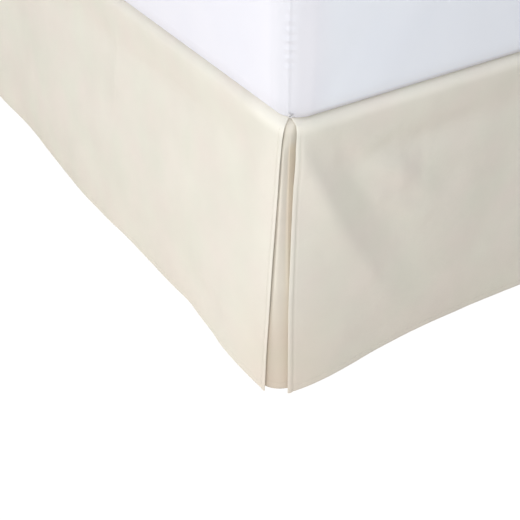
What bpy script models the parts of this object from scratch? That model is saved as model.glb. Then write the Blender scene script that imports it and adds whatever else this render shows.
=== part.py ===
"""Bed skirt: a tailored three-sided skirt with split corners, hung on a plain bed.

The skirt is a deck, which lies on the box spring, and three drops that hang from its edge to just
above the floor. At each foot corner the side drop and the foot drop part, and a corner underlay
shows in the split. The mattress, box spring and steel bed frame that carry it are plain.

Metres, +Z up. The foot of the bed faces -Y and the head is open. The origin is on the floor, under
the middle of the object's box.
"""
import math
from collections import namedtuple

import bmesh
import bpy

MM = 0.001

# --- Driving sizes -------------------------------------------------------------------------
BED_WIDTH = 1524 * MM
BED_LENGTH = 2032 * MM
DROP = 381 * MM
HEM_ABOVE_FLOOR = 5 * MM
BOX_SPRING_HEIGHT = 229 * MM
MATTRESS_HEIGHT = 254 * MM

CLOTH = 1.2 * MM
HEM_CLOTH = 2.0 * MM
HEM_WIDTH = 10 * MM
HEM_STEP = 2 * MM
SIDE_HEM_WIDTH = 8 * MM
SIDE_HEM_FROM = 60 * MM
SEAT_GAP = 0.3 * MM

# The cloth rolls over the bed's top edge: it comes off the flat at ROLL_IN inside the bed's line
# and stands ROLL_OUT outside it further down, with ROLL_SIZE as the depth scale of the turn.
LIP_WIDTH = 14 * MM
ROLL_IN = 6 * MM
ROLL_OUT = 6.2 * MM
ROLL_SIZE = 3.5 * MM
SHOULDER_SIZE = 14 * MM
FOOT_SHOULDER = 5 * MM
SIDE_SHOULDER = 2 * MM
HANG_START = 30 * MM
HANG_POWER = 1.6
STRAIGHT_LEAN = 150 * MM

# How far along a drop its free edge at a split pulls the cloth.
SPLIT_FADE_TOP = 26 * MM
SPLIT_FADE = 76 * MM
SPLIT_FADE_DEPTH = 40 * MM
SPLIT_FADE_POWER = 2.2
SHEAR_FADE = 120 * MM
MITRE_GAP = 1.8 * MM
FOLD_FREE_DEPTH = 30 * MM

# The corner underlay behind a split.
UNDERLAY_BEHIND = 1.75 * MM
UNDERLAY_WING = 118 * MM
UNDERLAY_ROLL_OUT = 2.2 * MM
UNDERLAY_WING_ROLL_OUT = 0.4 * MM
UNDERLAY_WING_TURN = 80 * MM
UNDERLAY_REACH = 35 * MM
UNDERLAY_WING_REACH = 22 * MM
UNDERLAY_HEM_RAISE = 3 * MM
UNDERLAY_LEAN_START = 8 * MM
UNDERLAY_CORNER_TOP = 13 * MM
UNDERLAY_CORNER_LEAST = 6 * MM
UNDERLAY_CORNER_SETTLE = 9 * MM
UNDERLAY_CORNER_HEM = 36 * MM
UNDERLAY_CORNER_POWER = 2.2
UNDERLAY_MIDDLE_TURN = math.radians(225)
UNDERLAY_HALF_TURN = math.radians(45)
UNDERLAY_CORNER_STEPS = 8
UNDERLAY_WING_STEPS = 5

# The bed under the skirt.
BOX_SPRING_INSET = 5 * MM
BOX_SPRING_CORNER = 30 * MM
BOX_SPRING_EDGE = 12 * MM
MATTRESS_SIDE_OVERHANG = 5.5 * MM
MATTRESS_FOOT_OVERHANG = 10 * MM
MATTRESS_HEAD_INSET = 2 * MM
MATTRESS_CORNER = 24 * MM
MATTRESS_TOP_EDGE = 30 * MM
MATTRESS_BOTTOM_EDGE = 8 * MM
ANGLE_LEG = 38 * MM
ANGLE_THICKNESS = 3 * MM
RAIL_END_INSET = 110 * MM
LEG_RADIUS = 14 * MM
GLIDE_HEIGHT = 22 * MM
GLIDE_RADIUS = 25 * MM
GLIDE_TOP_RADIUS = 19 * MM
GLIDE_SOCKET_HEIGHT = 12 * MM
ROUND_STEPS = 20
SHARP_ANGLE = math.radians(40)
CORNER_STEPS = 5
EDGE_STEPS = 3
CROSS_RAIL_FROM_END = 216 * MM
SIDE_LEG_INSET = 40 * MM

MERGE_DISTANCE = 0.00005

# A drop's free edge at a split, by distance down the cloth from the bed's top edge: how far it
# stands out of its own side, and how far it reaches past the corner.
SplitEdge = namedtuple("SplitEdge", "down side_out side_past foot_out foot_past")
SPLIT_EDGES = (
    SplitEdge(0 * MM, -8.0 * MM, -9.8 * MM, -8.0 * MM, -9.8 * MM),
    SplitEdge(6 * MM, 4.8 * MM, -0.3 * MM, 4.5 * MM, -9.0 * MM),
    SplitEdge(31 * MM, 10.4 * MM, 2.7 * MM, 10.5 * MM, -4.4 * MM),
    SplitEdge(94 * MM, 17.4 * MM, 6.5 * MM, 16.9 * MM, 1.9 * MM),
    SplitEdge(161 * MM, 24.9 * MM, 10.4 * MM, 23.8 * MM, 7.7 * MM),
    SplitEdge(234 * MM, 31.5 * MM, 13.8 * MM, 30.2 * MM, 13.0 * MM),
    SplitEdge(311 * MM, 38.5 * MM, 17.6 * MM, 36.6 * MM, 16.5 * MM),
    SplitEdge(381 * MM, 43.0 * MM, 20.0 * MM, 41.0 * MM, 18.4 * MM),
)

# How far the hem stands out of the bed's side, by distance along the drop from its foot corner
# (from the left one on the foot drop).
Reach = namedtuple("Reach", "along out")
LEFT_REACH = (
    Reach(0 * MM, 47.0 * MM),
    Reach(50 * MM, 47.0 * MM),
    Reach(90 * MM, 46.0 * MM),
    Reach(120 * MM, 43.0 * MM),
    Reach(155 * MM, 41.0 * MM),
    Reach(200 * MM, 38.0 * MM),
    Reach(240 * MM, 40.0 * MM),
    Reach(320 * MM, 42.5 * MM),
    Reach(400 * MM, 44.5 * MM),
    Reach(460 * MM, 48.5 * MM),
    Reach(560 * MM, 52.0 * MM),
    Reach(690 * MM, 49.0 * MM),
    Reach(840 * MM, 44.0 * MM),
    Reach(1000 * MM, 49.0 * MM),
    Reach(1160 * MM, 51.0 * MM),
    Reach(1330 * MM, 46.0 * MM),
    Reach(1520 * MM, 44.0 * MM),
    Reach(1700 * MM, 49.0 * MM),
    Reach(1870 * MM, 50.0 * MM),
    Reach(2032 * MM, 47.0 * MM),
)
RIGHT_REACH = (
    Reach(0 * MM, 46.5 * MM),
    Reach(60 * MM, 47.0 * MM),
    Reach(130 * MM, 44.0 * MM),
    Reach(220 * MM, 40.0 * MM),
    Reach(330 * MM, 43.0 * MM),
    Reach(450 * MM, 49.0 * MM),
    Reach(580 * MM, 52.0 * MM),
    Reach(740 * MM, 47.0 * MM),
    Reach(900 * MM, 43.0 * MM),
    Reach(1080 * MM, 46.0 * MM),
    Reach(1240 * MM, 51.0 * MM),
    Reach(1420 * MM, 49.0 * MM),
    Reach(1600 * MM, 44.0 * MM),
    Reach(1800 * MM, 46.0 * MM),
    Reach(2032 * MM, 49.0 * MM),
)
FOOT_REACH = (
    Reach(0 * MM, 46.5 * MM),
    Reach(26 * MM, 46.0 * MM),
    Reach(70 * MM, 42.0 * MM),
    Reach(115 * MM, 37.0 * MM),
    Reach(149 * MM, 34.0 * MM),
    Reach(195 * MM, 31.5 * MM),
    Reach(253 * MM, 30.5 * MM),
    Reach(340 * MM, 32.5 * MM),
    Reach(450 * MM, 37.5 * MM),
    Reach(570 * MM, 42.0 * MM),
    Reach(700 * MM, 43.0 * MM),
    Reach(840 * MM, 40.5 * MM),
    Reach(960 * MM, 42.5 * MM),
    Reach(1080 * MM, 40.0 * MM),
    Reach(1200 * MM, 35.5 * MM),
    Reach(1310 * MM, 35.0 * MM),
    Reach(1400 * MM, 39.0 * MM),
    Reach(1470 * MM, 44.0 * MM),
    Reach(1524 * MM, 46.5 * MM),
)

# Soft folds, each a straight ridge (height above zero) or trough (below zero) from its upper end
# to its lower end, in places along the drop and down the cloth.
Fold = namedtuple("Fold", "along_top down_top along_low down_low width height")
LEFT_FOLDS = (
    Fold(442 * MM, 60 * MM, 436 * MM, 150 * MM, 24 * MM, 2.2 * MM),
    Fold(486 * MM, 70 * MM, 478 * MM, 180 * MM, 26 * MM, -1.8 * MM),
    Fold(700 * MM, 90 * MM, 720 * MM, 300 * MM, 55 * MM, 2.6 * MM),
    Fold(900 * MM, 60 * MM, 860 * MM, 260 * MM, 60 * MM, -2.6 * MM),
    Fold(1290 * MM, 80 * MM, 1330 * MM, 300 * MM, 60 * MM, -2.4 * MM),
    Fold(1640 * MM, 90 * MM, 1600 * MM, 280 * MM, 60 * MM, 2.6 * MM),
)
RIGHT_FOLDS = (
    Fold(240 * MM, 80 * MM, 270 * MM, 250 * MM, 45 * MM, -2.4 * MM),
    Fold(470 * MM, 70 * MM, 440 * MM, 260 * MM, 50 * MM, 2.4 * MM),
    Fold(820 * MM, 60 * MM, 860 * MM, 280 * MM, 60 * MM, -2.6 * MM),
    Fold(1150 * MM, 90 * MM, 1120 * MM, 290 * MM, 60 * MM, 2.6 * MM),
    Fold(1520 * MM, 70 * MM, 1560 * MM, 260 * MM, 60 * MM, -2.2 * MM),
)
FOOT_FOLDS = (
    Fold(360 * MM, 60 * MM, 330 * MM, 250 * MM, 45 * MM, -2.2 * MM),
    Fold(620 * MM, 70 * MM, 650 * MM, 280 * MM, 55 * MM, 2.4 * MM),
    Fold(860 * MM, 60 * MM, 840 * MM, 260 * MM, 55 * MM, -2.4 * MM),
    Fold(1180 * MM, 80 * MM, 1150 * MM, 270 * MM, 50 * MM, 2.2 * MM),
    Fold(1470 * MM, 50 * MM, 1400 * MM, 230 * MM, 30 * MM, -1.8 * MM),
)

# Curved folds that run down the cloth: at each depth, the fold's place along the drop, its width and
# its height. Level folds that run along the cloth: at each place along it, the fold's depth.
FoldRow = namedtuple("FoldRow", "at place width height")
FOOT_SWEEPS = (
    (
        FoldRow(8 * MM, 8 * MM, 12 * MM, 0.0 * MM),
        FoldRow(50 * MM, 17 * MM, 15 * MM, 3.6 * MM),
        FoldRow(80 * MM, 30 * MM, 20 * MM, 5.4 * MM),
        FoldRow(110 * MM, 45 * MM, 25 * MM, 6.2 * MM),
        FoldRow(150 * MM, 60 * MM, 29 * MM, 5.8 * MM),
        FoldRow(200 * MM, 84 * MM, 32 * MM, 4.6 * MM),
        FoldRow(260 * MM, 120 * MM, 34 * MM, 3.0 * MM),
        FoldRow(320 * MM, 172 * MM, 34 * MM, 1.6 * MM),
        FoldRow(381 * MM, 236 * MM, 34 * MM, 0.0 * MM),
    ),
    (
        FoldRow(20 * MM, 56 * MM, 20 * MM, 0.0 * MM),
        FoldRow(60 * MM, 74 * MM, 20 * MM, -2.6 * MM),
        FoldRow(100 * MM, 99 * MM, 22 * MM, -4.2 * MM),
        FoldRow(140 * MM, 122 * MM, 25 * MM, -3.8 * MM),
        FoldRow(200 * MM, 156 * MM, 30 * MM, -2.6 * MM),
        FoldRow(260 * MM, 188 * MM, 32 * MM, -1.6 * MM),
        FoldRow(320 * MM, 240 * MM, 36 * MM, -0.8 * MM),
        FoldRow(381 * MM, 300 * MM, 36 * MM, 0.0 * MM),
    ),
    (
        FoldRow(24 * MM, 96 * MM, 22 * MM, 0.0 * MM),
        FoldRow(60 * MM, 120 * MM, 22 * MM, 1.8 * MM),
        FoldRow(100 * MM, 154 * MM, 24 * MM, 3.8 * MM),
        FoldRow(140 * MM, 196 * MM, 28 * MM, 3.2 * MM),
        FoldRow(200 * MM, 238 * MM, 34 * MM, 1.6 * MM),
        FoldRow(270 * MM, 262 * MM, 36 * MM, 0.0 * MM),
    ),
)
FOOT_BANDS = (
    (
        FoldRow(56 * MM, 66 * MM, 20 * MM, 0.0 * MM),
        FoldRow(110 * MM, 70 * MM, 20 * MM, -3.6 * MM),
        FoldRow(160 * MM, 72 * MM, 21 * MM, -5.2 * MM),
        FoldRow(230 * MM, 71 * MM, 22 * MM, -5.2 * MM),
        FoldRow(360 * MM, 66 * MM, 24 * MM, -2.2 * MM),
        FoldRow(700 * MM, 68 * MM, 26 * MM, -1.6 * MM),
        FoldRow(1200 * MM, 66 * MM, 24 * MM, -2.2 * MM),
        FoldRow(1460 * MM, 66 * MM, 22 * MM, 0.0 * MM),
    ),
)
LEFT_SWEEPS = (
    (
        FoldRow(10 * MM, 22 * MM, 16 * MM, 0.0 * MM),
        FoldRow(60 * MM, 30 * MM, 20 * MM, 2.0 * MM),
        FoldRow(130 * MM, 36 * MM, 24 * MM, 1.6 * MM),
        FoldRow(260 * MM, 44 * MM, 26 * MM, 0.0 * MM),
    ),
    (
        FoldRow(10 * MM, 72 * MM, 22 * MM, 0.0 * MM),
        FoldRow(50 * MM, 78 * MM, 24 * MM, -1.6 * MM),
        FoldRow(130 * MM, 84 * MM, 26 * MM, -1.2 * MM),
        FoldRow(220 * MM, 86 * MM, 28 * MM, 0.0 * MM),
    ),
    (
        FoldRow(60 * MM, 226 * MM, 44 * MM, 0.0 * MM),
        FoldRow(120 * MM, 222 * MM, 44 * MM, 1.6 * MM),
        FoldRow(200 * MM, 218 * MM, 46 * MM, 1.6 * MM),
        FoldRow(300 * MM, 210 * MM, 50 * MM, 0.0 * MM),
    ),
)
LEFT_BANDS = (
    (
        FoldRow(50 * MM, 60 * MM, 22 * MM, 0.0 * MM),
        FoldRow(100 * MM, 64 * MM, 24 * MM, -1.8 * MM),
        FoldRow(150 * MM, 64 * MM, 24 * MM, -2.4 * MM),
        FoldRow(220 * MM, 66 * MM, 24 * MM, -3.8 * MM),
        FoldRow(300 * MM, 68 * MM, 25 * MM, -4.4 * MM),
        FoldRow(400 * MM, 70 * MM, 26 * MM, -5.0 * MM),
        FoldRow(560 * MM, 72 * MM, 27 * MM, -5.2 * MM),
        FoldRow(1000 * MM, 66 * MM, 26 * MM, -1.6 * MM),
        FoldRow(1500 * MM, 64 * MM, 26 * MM, -2.4 * MM),
        FoldRow(2032 * MM, 66 * MM, 26 * MM, -1.4 * MM),
    ),
    (
        FoldRow(60 * MM, 205 * MM, 50 * MM, 0.0 * MM),
        FoldRow(160 * MM, 214 * MM, 50 * MM, 1.6 * MM),
        FoldRow(300 * MM, 216 * MM, 52 * MM, 1.8 * MM),
        FoldRow(540 * MM, 208 * MM, 54 * MM, 2.2 * MM),
        FoldRow(900 * MM, 220 * MM, 56 * MM, 0.0 * MM),
    ),
)
RIGHT_SWEEPS = (
    (
        FoldRow(10 * MM, 20 * MM, 16 * MM, 0.0 * MM),
        FoldRow(70 * MM, 32 * MM, 20 * MM, 2.4 * MM),
        FoldRow(140 * MM, 44 * MM, 24 * MM, 2.2 * MM),
        FoldRow(270 * MM, 70 * MM, 28 * MM, 0.0 * MM),
    ),
)
RIGHT_BANDS = (
    (
        FoldRow(60 * MM, 64 * MM, 22 * MM, 0.0 * MM),
        FoldRow(160 * MM, 64 * MM, 22 * MM, -1.8 * MM),
        FoldRow(500 * MM, 66 * MM, 26 * MM, -2.4 * MM),
        FoldRow(1100 * MM, 66 * MM, 26 * MM, -1.6 * MM),
        FoldRow(1600 * MM, 64 * MM, 26 * MM, -2.4 * MM),
        FoldRow(2032 * MM, 66 * MM, 26 * MM, -1.4 * MM),
    ),
)

# Where the mesh of a drop has its rows down the cloth and its columns from a split.
ROWS_DOWN = tuple(
    down * MM
    for down in (-14, -6, 0, 2, 5, 10, 20, 34, 50, 66, 84, 106, 134, 166, 202, 242, 284, 330)
) + (DROP - HEM_WIDTH - HEM_STEP, DROP - HEM_WIDTH, DROP)
NEAR_COLUMNS = (0.0, SIDE_HEM_WIDTH, SIDE_HEM_WIDTH + HEM_STEP) + tuple(
    along * MM
    for along in (18, 28, 40, 54, 68, 83, 99, 116, 135, 156, 180, 207, 236, 268, 305, 350, 410, 480, 560)
)
FAR_COLUMN_STEP = 78 * MM
UNDERLAY_ROWS = ROWS_DOWN[2:-3]

# --- Sizes that follow ---------------------------------------------------------------------
SKIRT_TOP = HEM_ABOVE_FLOOR + DROP
BOX_SPRING_TOP = SKIRT_TOP - CLOTH - SEAT_GAP
BOX_SPRING_BOTTOM = BOX_SPRING_TOP - BOX_SPRING_HEIGHT
RAIL_TOP = BOX_SPRING_BOTTOM - SEAT_GAP
CROSS_RAIL_TOP = RAIL_TOP - ANGLE_THICKNESS - SEAT_GAP
LEG_TOP = CROSS_RAIL_TOP - ANGLE_THICKNESS - SEAT_GAP
MATTRESS_BOTTOM = SKIRT_TOP + SEAT_GAP
MATTRESS_TOP = MATTRESS_BOTTOM + MATTRESS_HEIGHT
FOOT_MOST_OUT = max(row.out for row in FOOT_REACH)
BED_FORWARD = FOOT_MOST_OUT / 2
FOOT_Y = BED_FORWARD - BED_LENGTH / 2
HEAD_Y = BED_FORWARD + BED_LENGTH / 2
SIDE_X = BED_WIDTH / 2

COLLECTION = "bed_skirt"
IVORY = (0.80, 0.76, 0.68, 1.0)
WHITE = (0.86, 0.86, 0.88, 1.0)
TICKING = (0.62, 0.61, 0.58, 1.0)
STEEL_BROWN = (0.09, 0.075, 0.065, 1.0)
BLACK_PLASTIC = (0.03, 0.03, 0.03, 1.0)


# --- Scene and materials ---------------------------------------------------------------------
def clear_scene():
    for old in list(bpy.data.objects):
        bpy.data.objects.remove(old)


def make_material(name, colour, roughness, metallic=0.0):
    material = bpy.data.materials.new(name)
    material.use_nodes = True
    shader = material.node_tree.nodes["Principled BSDF"]
    shader.inputs["Base Color"].default_value = colour
    shader.inputs["Roughness"].default_value = roughness
    shader.inputs["Metallic"].default_value = metallic
    return material


def add_object(name, data, material, collection):
    data.materials.append(material)
    piece = bpy.data.objects.new(name, data)
    collection.objects.link(piece)
    return piece


# --- How the cloth hangs -----------------------------------------------------------------------
def smooth_through(xs, ys, x):
    """A smooth curve through points, held level past its ends."""
    if x <= xs[0]:
        return ys[0]
    if x >= xs[-1]:
        return ys[-1]
    k = max(i for i in range(len(xs) - 1) if xs[i] <= x)
    step = xs[k + 1] - xs[k]
    before = max(k - 1, 0)
    after = min(k + 2, len(xs) - 1)
    slope_start = (ys[k + 1] - ys[before]) / (xs[k + 1] - xs[before]) * step
    slope_end = (ys[after] - ys[k]) / (xs[after] - xs[k]) * step
    t = (x - xs[k]) / step
    start_weight = (1 + 2 * t) * (1 - t) ** 2
    end_weight = t * t * (3 - 2 * t)
    bend = t * (1 - t) ** 2 * slope_start - t * t * (1 - t) * slope_end
    return start_weight * ys[k] + end_weight * ys[k + 1] + bend


def fade(distance, length, power):
    return max(0.0, 1.0 - distance / length) ** power


def ease(x):
    x = min(max(x, 0.0), 1.0)
    return x * x * (3 - 2 * x)


def roll(down, roll_out):
    """How far out the cloth stands as it turns over the bed's top edge."""
    if down < 0:
        return down - ROLL_IN
    return roll_out - (roll_out + ROLL_IN) * math.exp(-down / ROLL_SIZE)


def hang(down):
    """The share of the hem's reach at a depth: upright at first, then leaning out to the hem."""
    below = (down - HANG_START) / (DROP - HANG_START)
    return math.sin(math.pi / 2 * max(below, 0.0)) ** HANG_POWER


def fold_height(folds, along, down):
    height = 0.0
    for fold in folds:
        run = fold.along_low - fold.along_top
        fall = fold.down_low - fold.down_top
        t = ((along - fold.along_top) * run + (down - fold.down_top) * fall) / (run * run + fall * fall)
        t = min(max(t, 0.0), 1.0)
        away = math.hypot(along - fold.along_top - t * run, down - fold.down_top - t * fall)
        height += fold.height * math.exp(-((away / fold.width) ** 2))
    return height * ease(down / FOLD_FREE_DEPTH)


def shaped_height(folds, at, place):
    """Height of folds whose place, width and height go by how far along them a point is."""
    height = 0.0
    for rows in folds:
        ats = [row.at for row in rows]
        middle = smooth_through(ats, [row.place for row in rows], at)
        width = smooth_through(ats, [row.width for row in rows], at)
        tall = smooth_through(ats, [row.height for row in rows], at)
        height += tall * math.exp(-(((place - middle) / width) ** 2))
    return height


def plain_out(drop, along, down):
    """How far out a drop's outer face stands, away from the splits."""
    at_hem = smooth_through([row.along for row in drop.reach], [row.out for row in drop.reach], along)
    hung = roll(down, ROLL_OUT) + drop.shoulder * (1 - math.exp(-max(down, 0.0) / SHOULDER_SIZE))
    from_split = along if len(drop.splits) == 1 else min(along, drop.length - along)
    straight = min(max(down / DROP, 0.0), 1.0)
    lean = straight + (hang(down) - straight) * ease(from_split / STRAIGHT_LEAN)
    hung += (at_hem - ROLL_OUT - drop.shoulder) * lean
    shaped = shaped_height(drop.sweeps, down, along) + shaped_height(drop.bands, along, down)
    return hung + fold_height(drop.folds, along, down) + shaped * ease(down / FOLD_FREE_DEPTH)


def split_edge(down, is_foot):
    """Out and past the corner, of a drop's free edge at a split."""
    downs = [row.down for row in SPLIT_EDGES]
    outs = [row.foot_out if is_foot else row.side_out for row in SPLIT_EDGES]
    pasts = [row.foot_past if is_foot else row.side_past for row in SPLIT_EDGES]
    if down < 0:
        lip_out = outs[0] + (ROLL_IN + LIP_WIDTH + outs[0]) * down / LIP_WIDTH
        return lip_out, lip_out - MITRE_GAP
    return smooth_through(downs, outs, down), smooth_through(downs, pasts, down)


def drop_place(drop, along, down):
    """Along, out and depth of a drop's outer face, for a place on its cloth."""
    out = plain_out(drop, along, down)
    place = along
    for end, inward in drop.splits:
        edge_out, edge_past = split_edge(down, drop.is_foot)
        from_end = (along - end) * inward
        fade_length = SPLIT_FADE_TOP + (SPLIT_FADE - SPLIT_FADE_TOP) * ease(down / SPLIT_FADE_DEPTH)
        pull = edge_out - plain_out(drop, end, down)
        out += pull * fade(from_end, fade_length, SPLIT_FADE_POWER)
        place -= inward * edge_past * fade(from_end, SHEAR_FADE, 2)
    return place, out, max(down, 0.0)


# --- The skirt's cloth ---------------------------------------------------------------------------
# Each drop is made in its own frame, from its foot corner, with local X along it (against it where
# mirror is -1) and local -Y outwards. A split is at a place along the drop, and the cloth lies to
# the side of it that its sign gives.
Drop = namedtuple(
    "Drop", "name length reach folds sweeps bands shoulder splits is_foot mirror corner turn"
)
LEFT_CORNER = (-SIDE_X, FOOT_Y)
RIGHT_CORNER = (SIDE_X, FOOT_Y)
SIDE_SPLITS = ((0.0, 1),)
FOOT_SPLITS = ((0.0, 1), (BED_WIDTH, -1))
DROPS = (
    Drop(
        "drop_left", BED_LENGTH, LEFT_REACH, LEFT_FOLDS, LEFT_SWEEPS, LEFT_BANDS, SIDE_SHOULDER,
        SIDE_SPLITS, False, -1, LEFT_CORNER, -90,
    ),
    Drop(
        "drop_foot", BED_WIDTH, FOOT_REACH, FOOT_FOLDS, FOOT_SWEEPS, FOOT_BANDS, FOOT_SHOULDER,
        FOOT_SPLITS, True, 1, LEFT_CORNER, 0,
    ),
    Drop(
        "drop_right", BED_LENGTH, RIGHT_REACH, RIGHT_FOLDS, RIGHT_SWEEPS, RIGHT_BANDS, SIDE_SHOULDER,
        SIDE_SPLITS, False, 1, RIGHT_CORNER, 90,
    ),
)


def columns_along(drop):
    """Places of the mesh's columns: close together near a split, even elsewhere."""
    near = list(NEAR_COLUMNS)
    if len(drop.splits) > 1:
        middle = drop.length - 2 * near[-1]
        steps = max(1, round(middle / FAR_COLUMN_STEP))
        between = [near[-1] + middle * k / steps for k in range(1, steps)]
        return near + between + [drop.length - along for along in reversed(near)]
    rest = drop.length - HEM_WIDTH - near[-1]
    steps = round(rest / FAR_COLUMN_STEP)
    return near + [near[-1] + rest * k / steps for k in range(1, steps + 1)] + [drop.length]


def sheet_mesh(name, rows, thick_places, flip):
    """An open sheet from rows of points, with the hem's thickness marked in a vertex group."""
    mesh = bpy.data.meshes.new(name)
    width = len(rows[0])
    points = [point for row in rows for point in row]
    faces = []
    for i in range(len(rows) - 1):
        for j in range(width - 1):
            a = i * width + j
            corners = (a, a + width, a + width + 1, a + 1)
            faces.append(corners[::-1] if flip else corners)
    mesh.from_pydata(points, [], faces)
    mesh.shade_smooth()
    thick = [i * width + j for i in range(len(rows)) for j in range(width) if thick_places(i, j)]
    return mesh, thick


def make_cloth(name, rows, thick_places, flip, material, collection):
    mesh, thick = sheet_mesh(name, rows, thick_places, flip)
    piece = add_object(name, mesh, material, collection)
    hems = piece.vertex_groups.new(name="hems")
    hems.add(thick, 1.0, "REPLACE")
    solidify = piece.modifiers.new("cloth thickness", "SOLIDIFY")
    solidify.thickness = HEM_CLOTH
    solidify.vertex_group = hems.name
    solidify.thickness_vertex_group = CLOTH / HEM_CLOTH
    solidify.offset = -1
    solidify.use_even_offset = True
    return piece


def make_drop(drop, material, collection):
    """One drop: a lip on the box spring, the roll over the edge, and the hanging cloth."""
    columns = columns_along(drop)
    last = len(columns) - 1
    rows = []
    for down in ROWS_DOWN:
        row = []
        for along in columns:
            place, out, depth = drop_place(drop, along, down)
            row.append((drop.mirror * place, -out, -depth))
        rows.append(row)

    def is_hem(i, j):
        at_bottom = i >= len(ROWS_DOWN) - 2
        at_side = ROWS_DOWN[i] > SIDE_HEM_FROM and (j <= 1 or j >= last - 1)
        return at_bottom or at_side

    piece = make_cloth(drop.name, rows, is_hem, drop.mirror < 0, material, collection)
    piece.location = (drop.corner[0], drop.corner[1], SKIRT_TOP)
    piece.rotation_euler.z = math.radians(drop.turn)
    return piece


def underlay_columns():
    """Each column's share of the corner's turn (-1 to 1) and its distance out along a wing."""
    turn = [(2 * k / UNDERLAY_CORNER_STEPS - 1, 0.0) for k in range(UNDERLAY_CORNER_STEPS + 1)]
    wing = [UNDERLAY_WING * (k + 1) / UNDERLAY_WING_STEPS for k in range(UNDERLAY_WING_STEPS)]
    return [(-1.0, far) for far in reversed(wing)] + turn + [(1.0, far) for far in wing]


def underlay_place(turn, far, down):
    """A place on the underlay's outer face: x along the foot, y along the side, and depth."""
    out_share = ease(far / UNDERLAY_WING_TURN)
    roll_out = UNDERLAY_ROLL_OUT + (UNDERLAY_WING_ROLL_OUT - UNDERLAY_ROLL_OUT) * out_share
    reach = UNDERLAY_REACH + (UNDERLAY_WING_REACH - UNDERLAY_REACH) * out_share
    lean = max(down - UNDERLAY_LEAN_START, 0.0) / (DROP - UNDERLAY_LEAN_START)
    out = roll(down, roll_out) + (reach - roll_out) * (lean + (hang(down) - lean) * out_share)
    steep = (roll_out + ROLL_IN) / ROLL_SIZE * math.exp(-down / ROLL_SIZE)
    length = math.hypot(steep, 1.0)
    out -= UNDERLAY_BEHIND * math.exp(-down / ROLL_SIZE) / length
    depth = down + UNDERLAY_BEHIND * steep / length
    settle = math.exp(-down / UNDERLAY_CORNER_SETTLE)
    radius = UNDERLAY_CORNER_LEAST + (UNDERLAY_CORNER_TOP - UNDERLAY_CORNER_LEAST) * settle
    radius += (UNDERLAY_CORNER_HEM - UNDERLAY_CORNER_LEAST) * (down / DROP) ** UNDERLAY_CORNER_POWER
    centre = radius - out
    angle = UNDERLAY_MIDDLE_TURN + UNDERLAY_HALF_TURN * turn
    x = centre + radius * math.cos(angle) + (far if turn > 0 else 0.0)
    y = centre + radius * math.sin(angle) + (far if turn < 0 else 0.0)
    return x, y, depth


def make_underlay(name, mirror, corner, material, collection):
    """The panel behind a split: a curved sheet round the corner, under the ends of both drops."""
    downs = list(UNDERLAY_ROWS) + [DROP - UNDERLAY_HEM_RAISE - HEM_WIDTH, DROP - UNDERLAY_HEM_RAISE]
    rows = []
    for down in downs:
        places = [underlay_place(turn, far, down) for turn, far in underlay_columns()]
        rows.append([(mirror * x, y, -depth) for x, y, depth in places])

    def is_hem(i, j):
        return i >= len(downs) - 2

    piece = make_cloth(name, rows, is_hem, mirror < 0, material, collection)
    piece.location = (corner[0], corner[1], SKIRT_TOP)
    return piece


def make_deck(material, collection):
    """The flat cloth between mattress and box spring, from which the drops hang."""
    inset = ROLL_IN + LIP_WIDTH + SEAT_GAP
    half_width = SIDE_X - inset
    foot = FOOT_Y + inset
    piece = make_slab("deck", 2 * half_width, HEAD_Y - foot, CLOTH, material, collection)
    piece.location = (0.0, (foot + HEAD_Y) / 2, SKIRT_TOP - CLOTH / 2)
    return piece


# --- The plain bed -------------------------------------------------------------------------------
def make_slab(name, width, length, height, material, collection):
    bm = bmesh.new()
    bmesh.ops.create_cube(bm, size=1.0)
    bmesh.ops.scale(bm, vec=(width, length, height), verts=bm.verts)
    mesh = bpy.data.meshes.new(name)
    bm.to_mesh(mesh)
    bm.free()
    return add_object(name, mesh, material, collection)


def bevel_where(bm, is_wanted, radius, steps):
    edges = [edge for edge in bm.edges if is_wanted(edge)]
    bmesh.ops.bevel(bm, geom=edges, offset=radius, segments=steps, profile=0.5, affect="EDGES")


def make_rounded_slab(name, size, corner, top_edge, bottom_edge, material, collection):
    """A block with round upright corners, and its top and bottom rims rounded."""
    piece = make_slab(name, *size, material, collection)
    height = size[2]
    bm = bmesh.new()
    bm.from_mesh(piece.data)

    def is_upright(edge):
        return abs(edge.verts[0].co.z - edge.verts[1].co.z) > height / 2

    def is_rim(sign):
        return lambda edge: all(sign * v.co.z > height / 2 - MERGE_DISTANCE for v in edge.verts)

    bevel_where(bm, is_upright, corner, CORNER_STEPS)
    bevel_where(bm, is_rim(1), top_edge, EDGE_STEPS)
    bevel_where(bm, is_rim(-1), bottom_edge, EDGE_STEPS)
    bm.to_mesh(piece.data)
    bm.free()
    piece.data.shade_smooth()
    piece.data.set_sharp_from_angle(angle=SHARP_ANGLE)
    return piece


def make_mattress(material, collection):
    foot = FOOT_Y - MATTRESS_FOOT_OVERHANG
    head = HEAD_Y - MATTRESS_HEAD_INSET
    size = (BED_WIDTH + 2 * MATTRESS_SIDE_OVERHANG, head - foot, MATTRESS_HEIGHT)
    rims = (MATTRESS_TOP_EDGE, MATTRESS_BOTTOM_EDGE)
    piece = make_rounded_slab("mattress", size, MATTRESS_CORNER, *rims, material, collection)
    piece.location = (0.0, (foot + head) / 2, (MATTRESS_BOTTOM + MATTRESS_TOP) / 2)
    return piece


def make_box_spring(material, collection):
    size = (BED_WIDTH - 2 * BOX_SPRING_INSET, BED_LENGTH - 2 * BOX_SPRING_INSET, BOX_SPRING_HEIGHT)
    rims = (BOX_SPRING_EDGE, BOX_SPRING_EDGE)
    piece = make_rounded_slab("box_spring", size, BOX_SPRING_CORNER, *rims, material, collection)
    piece.location = (0.0, BED_FORWARD, (BOX_SPRING_TOP + BOX_SPRING_BOTTOM) / 2)
    return piece


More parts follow.
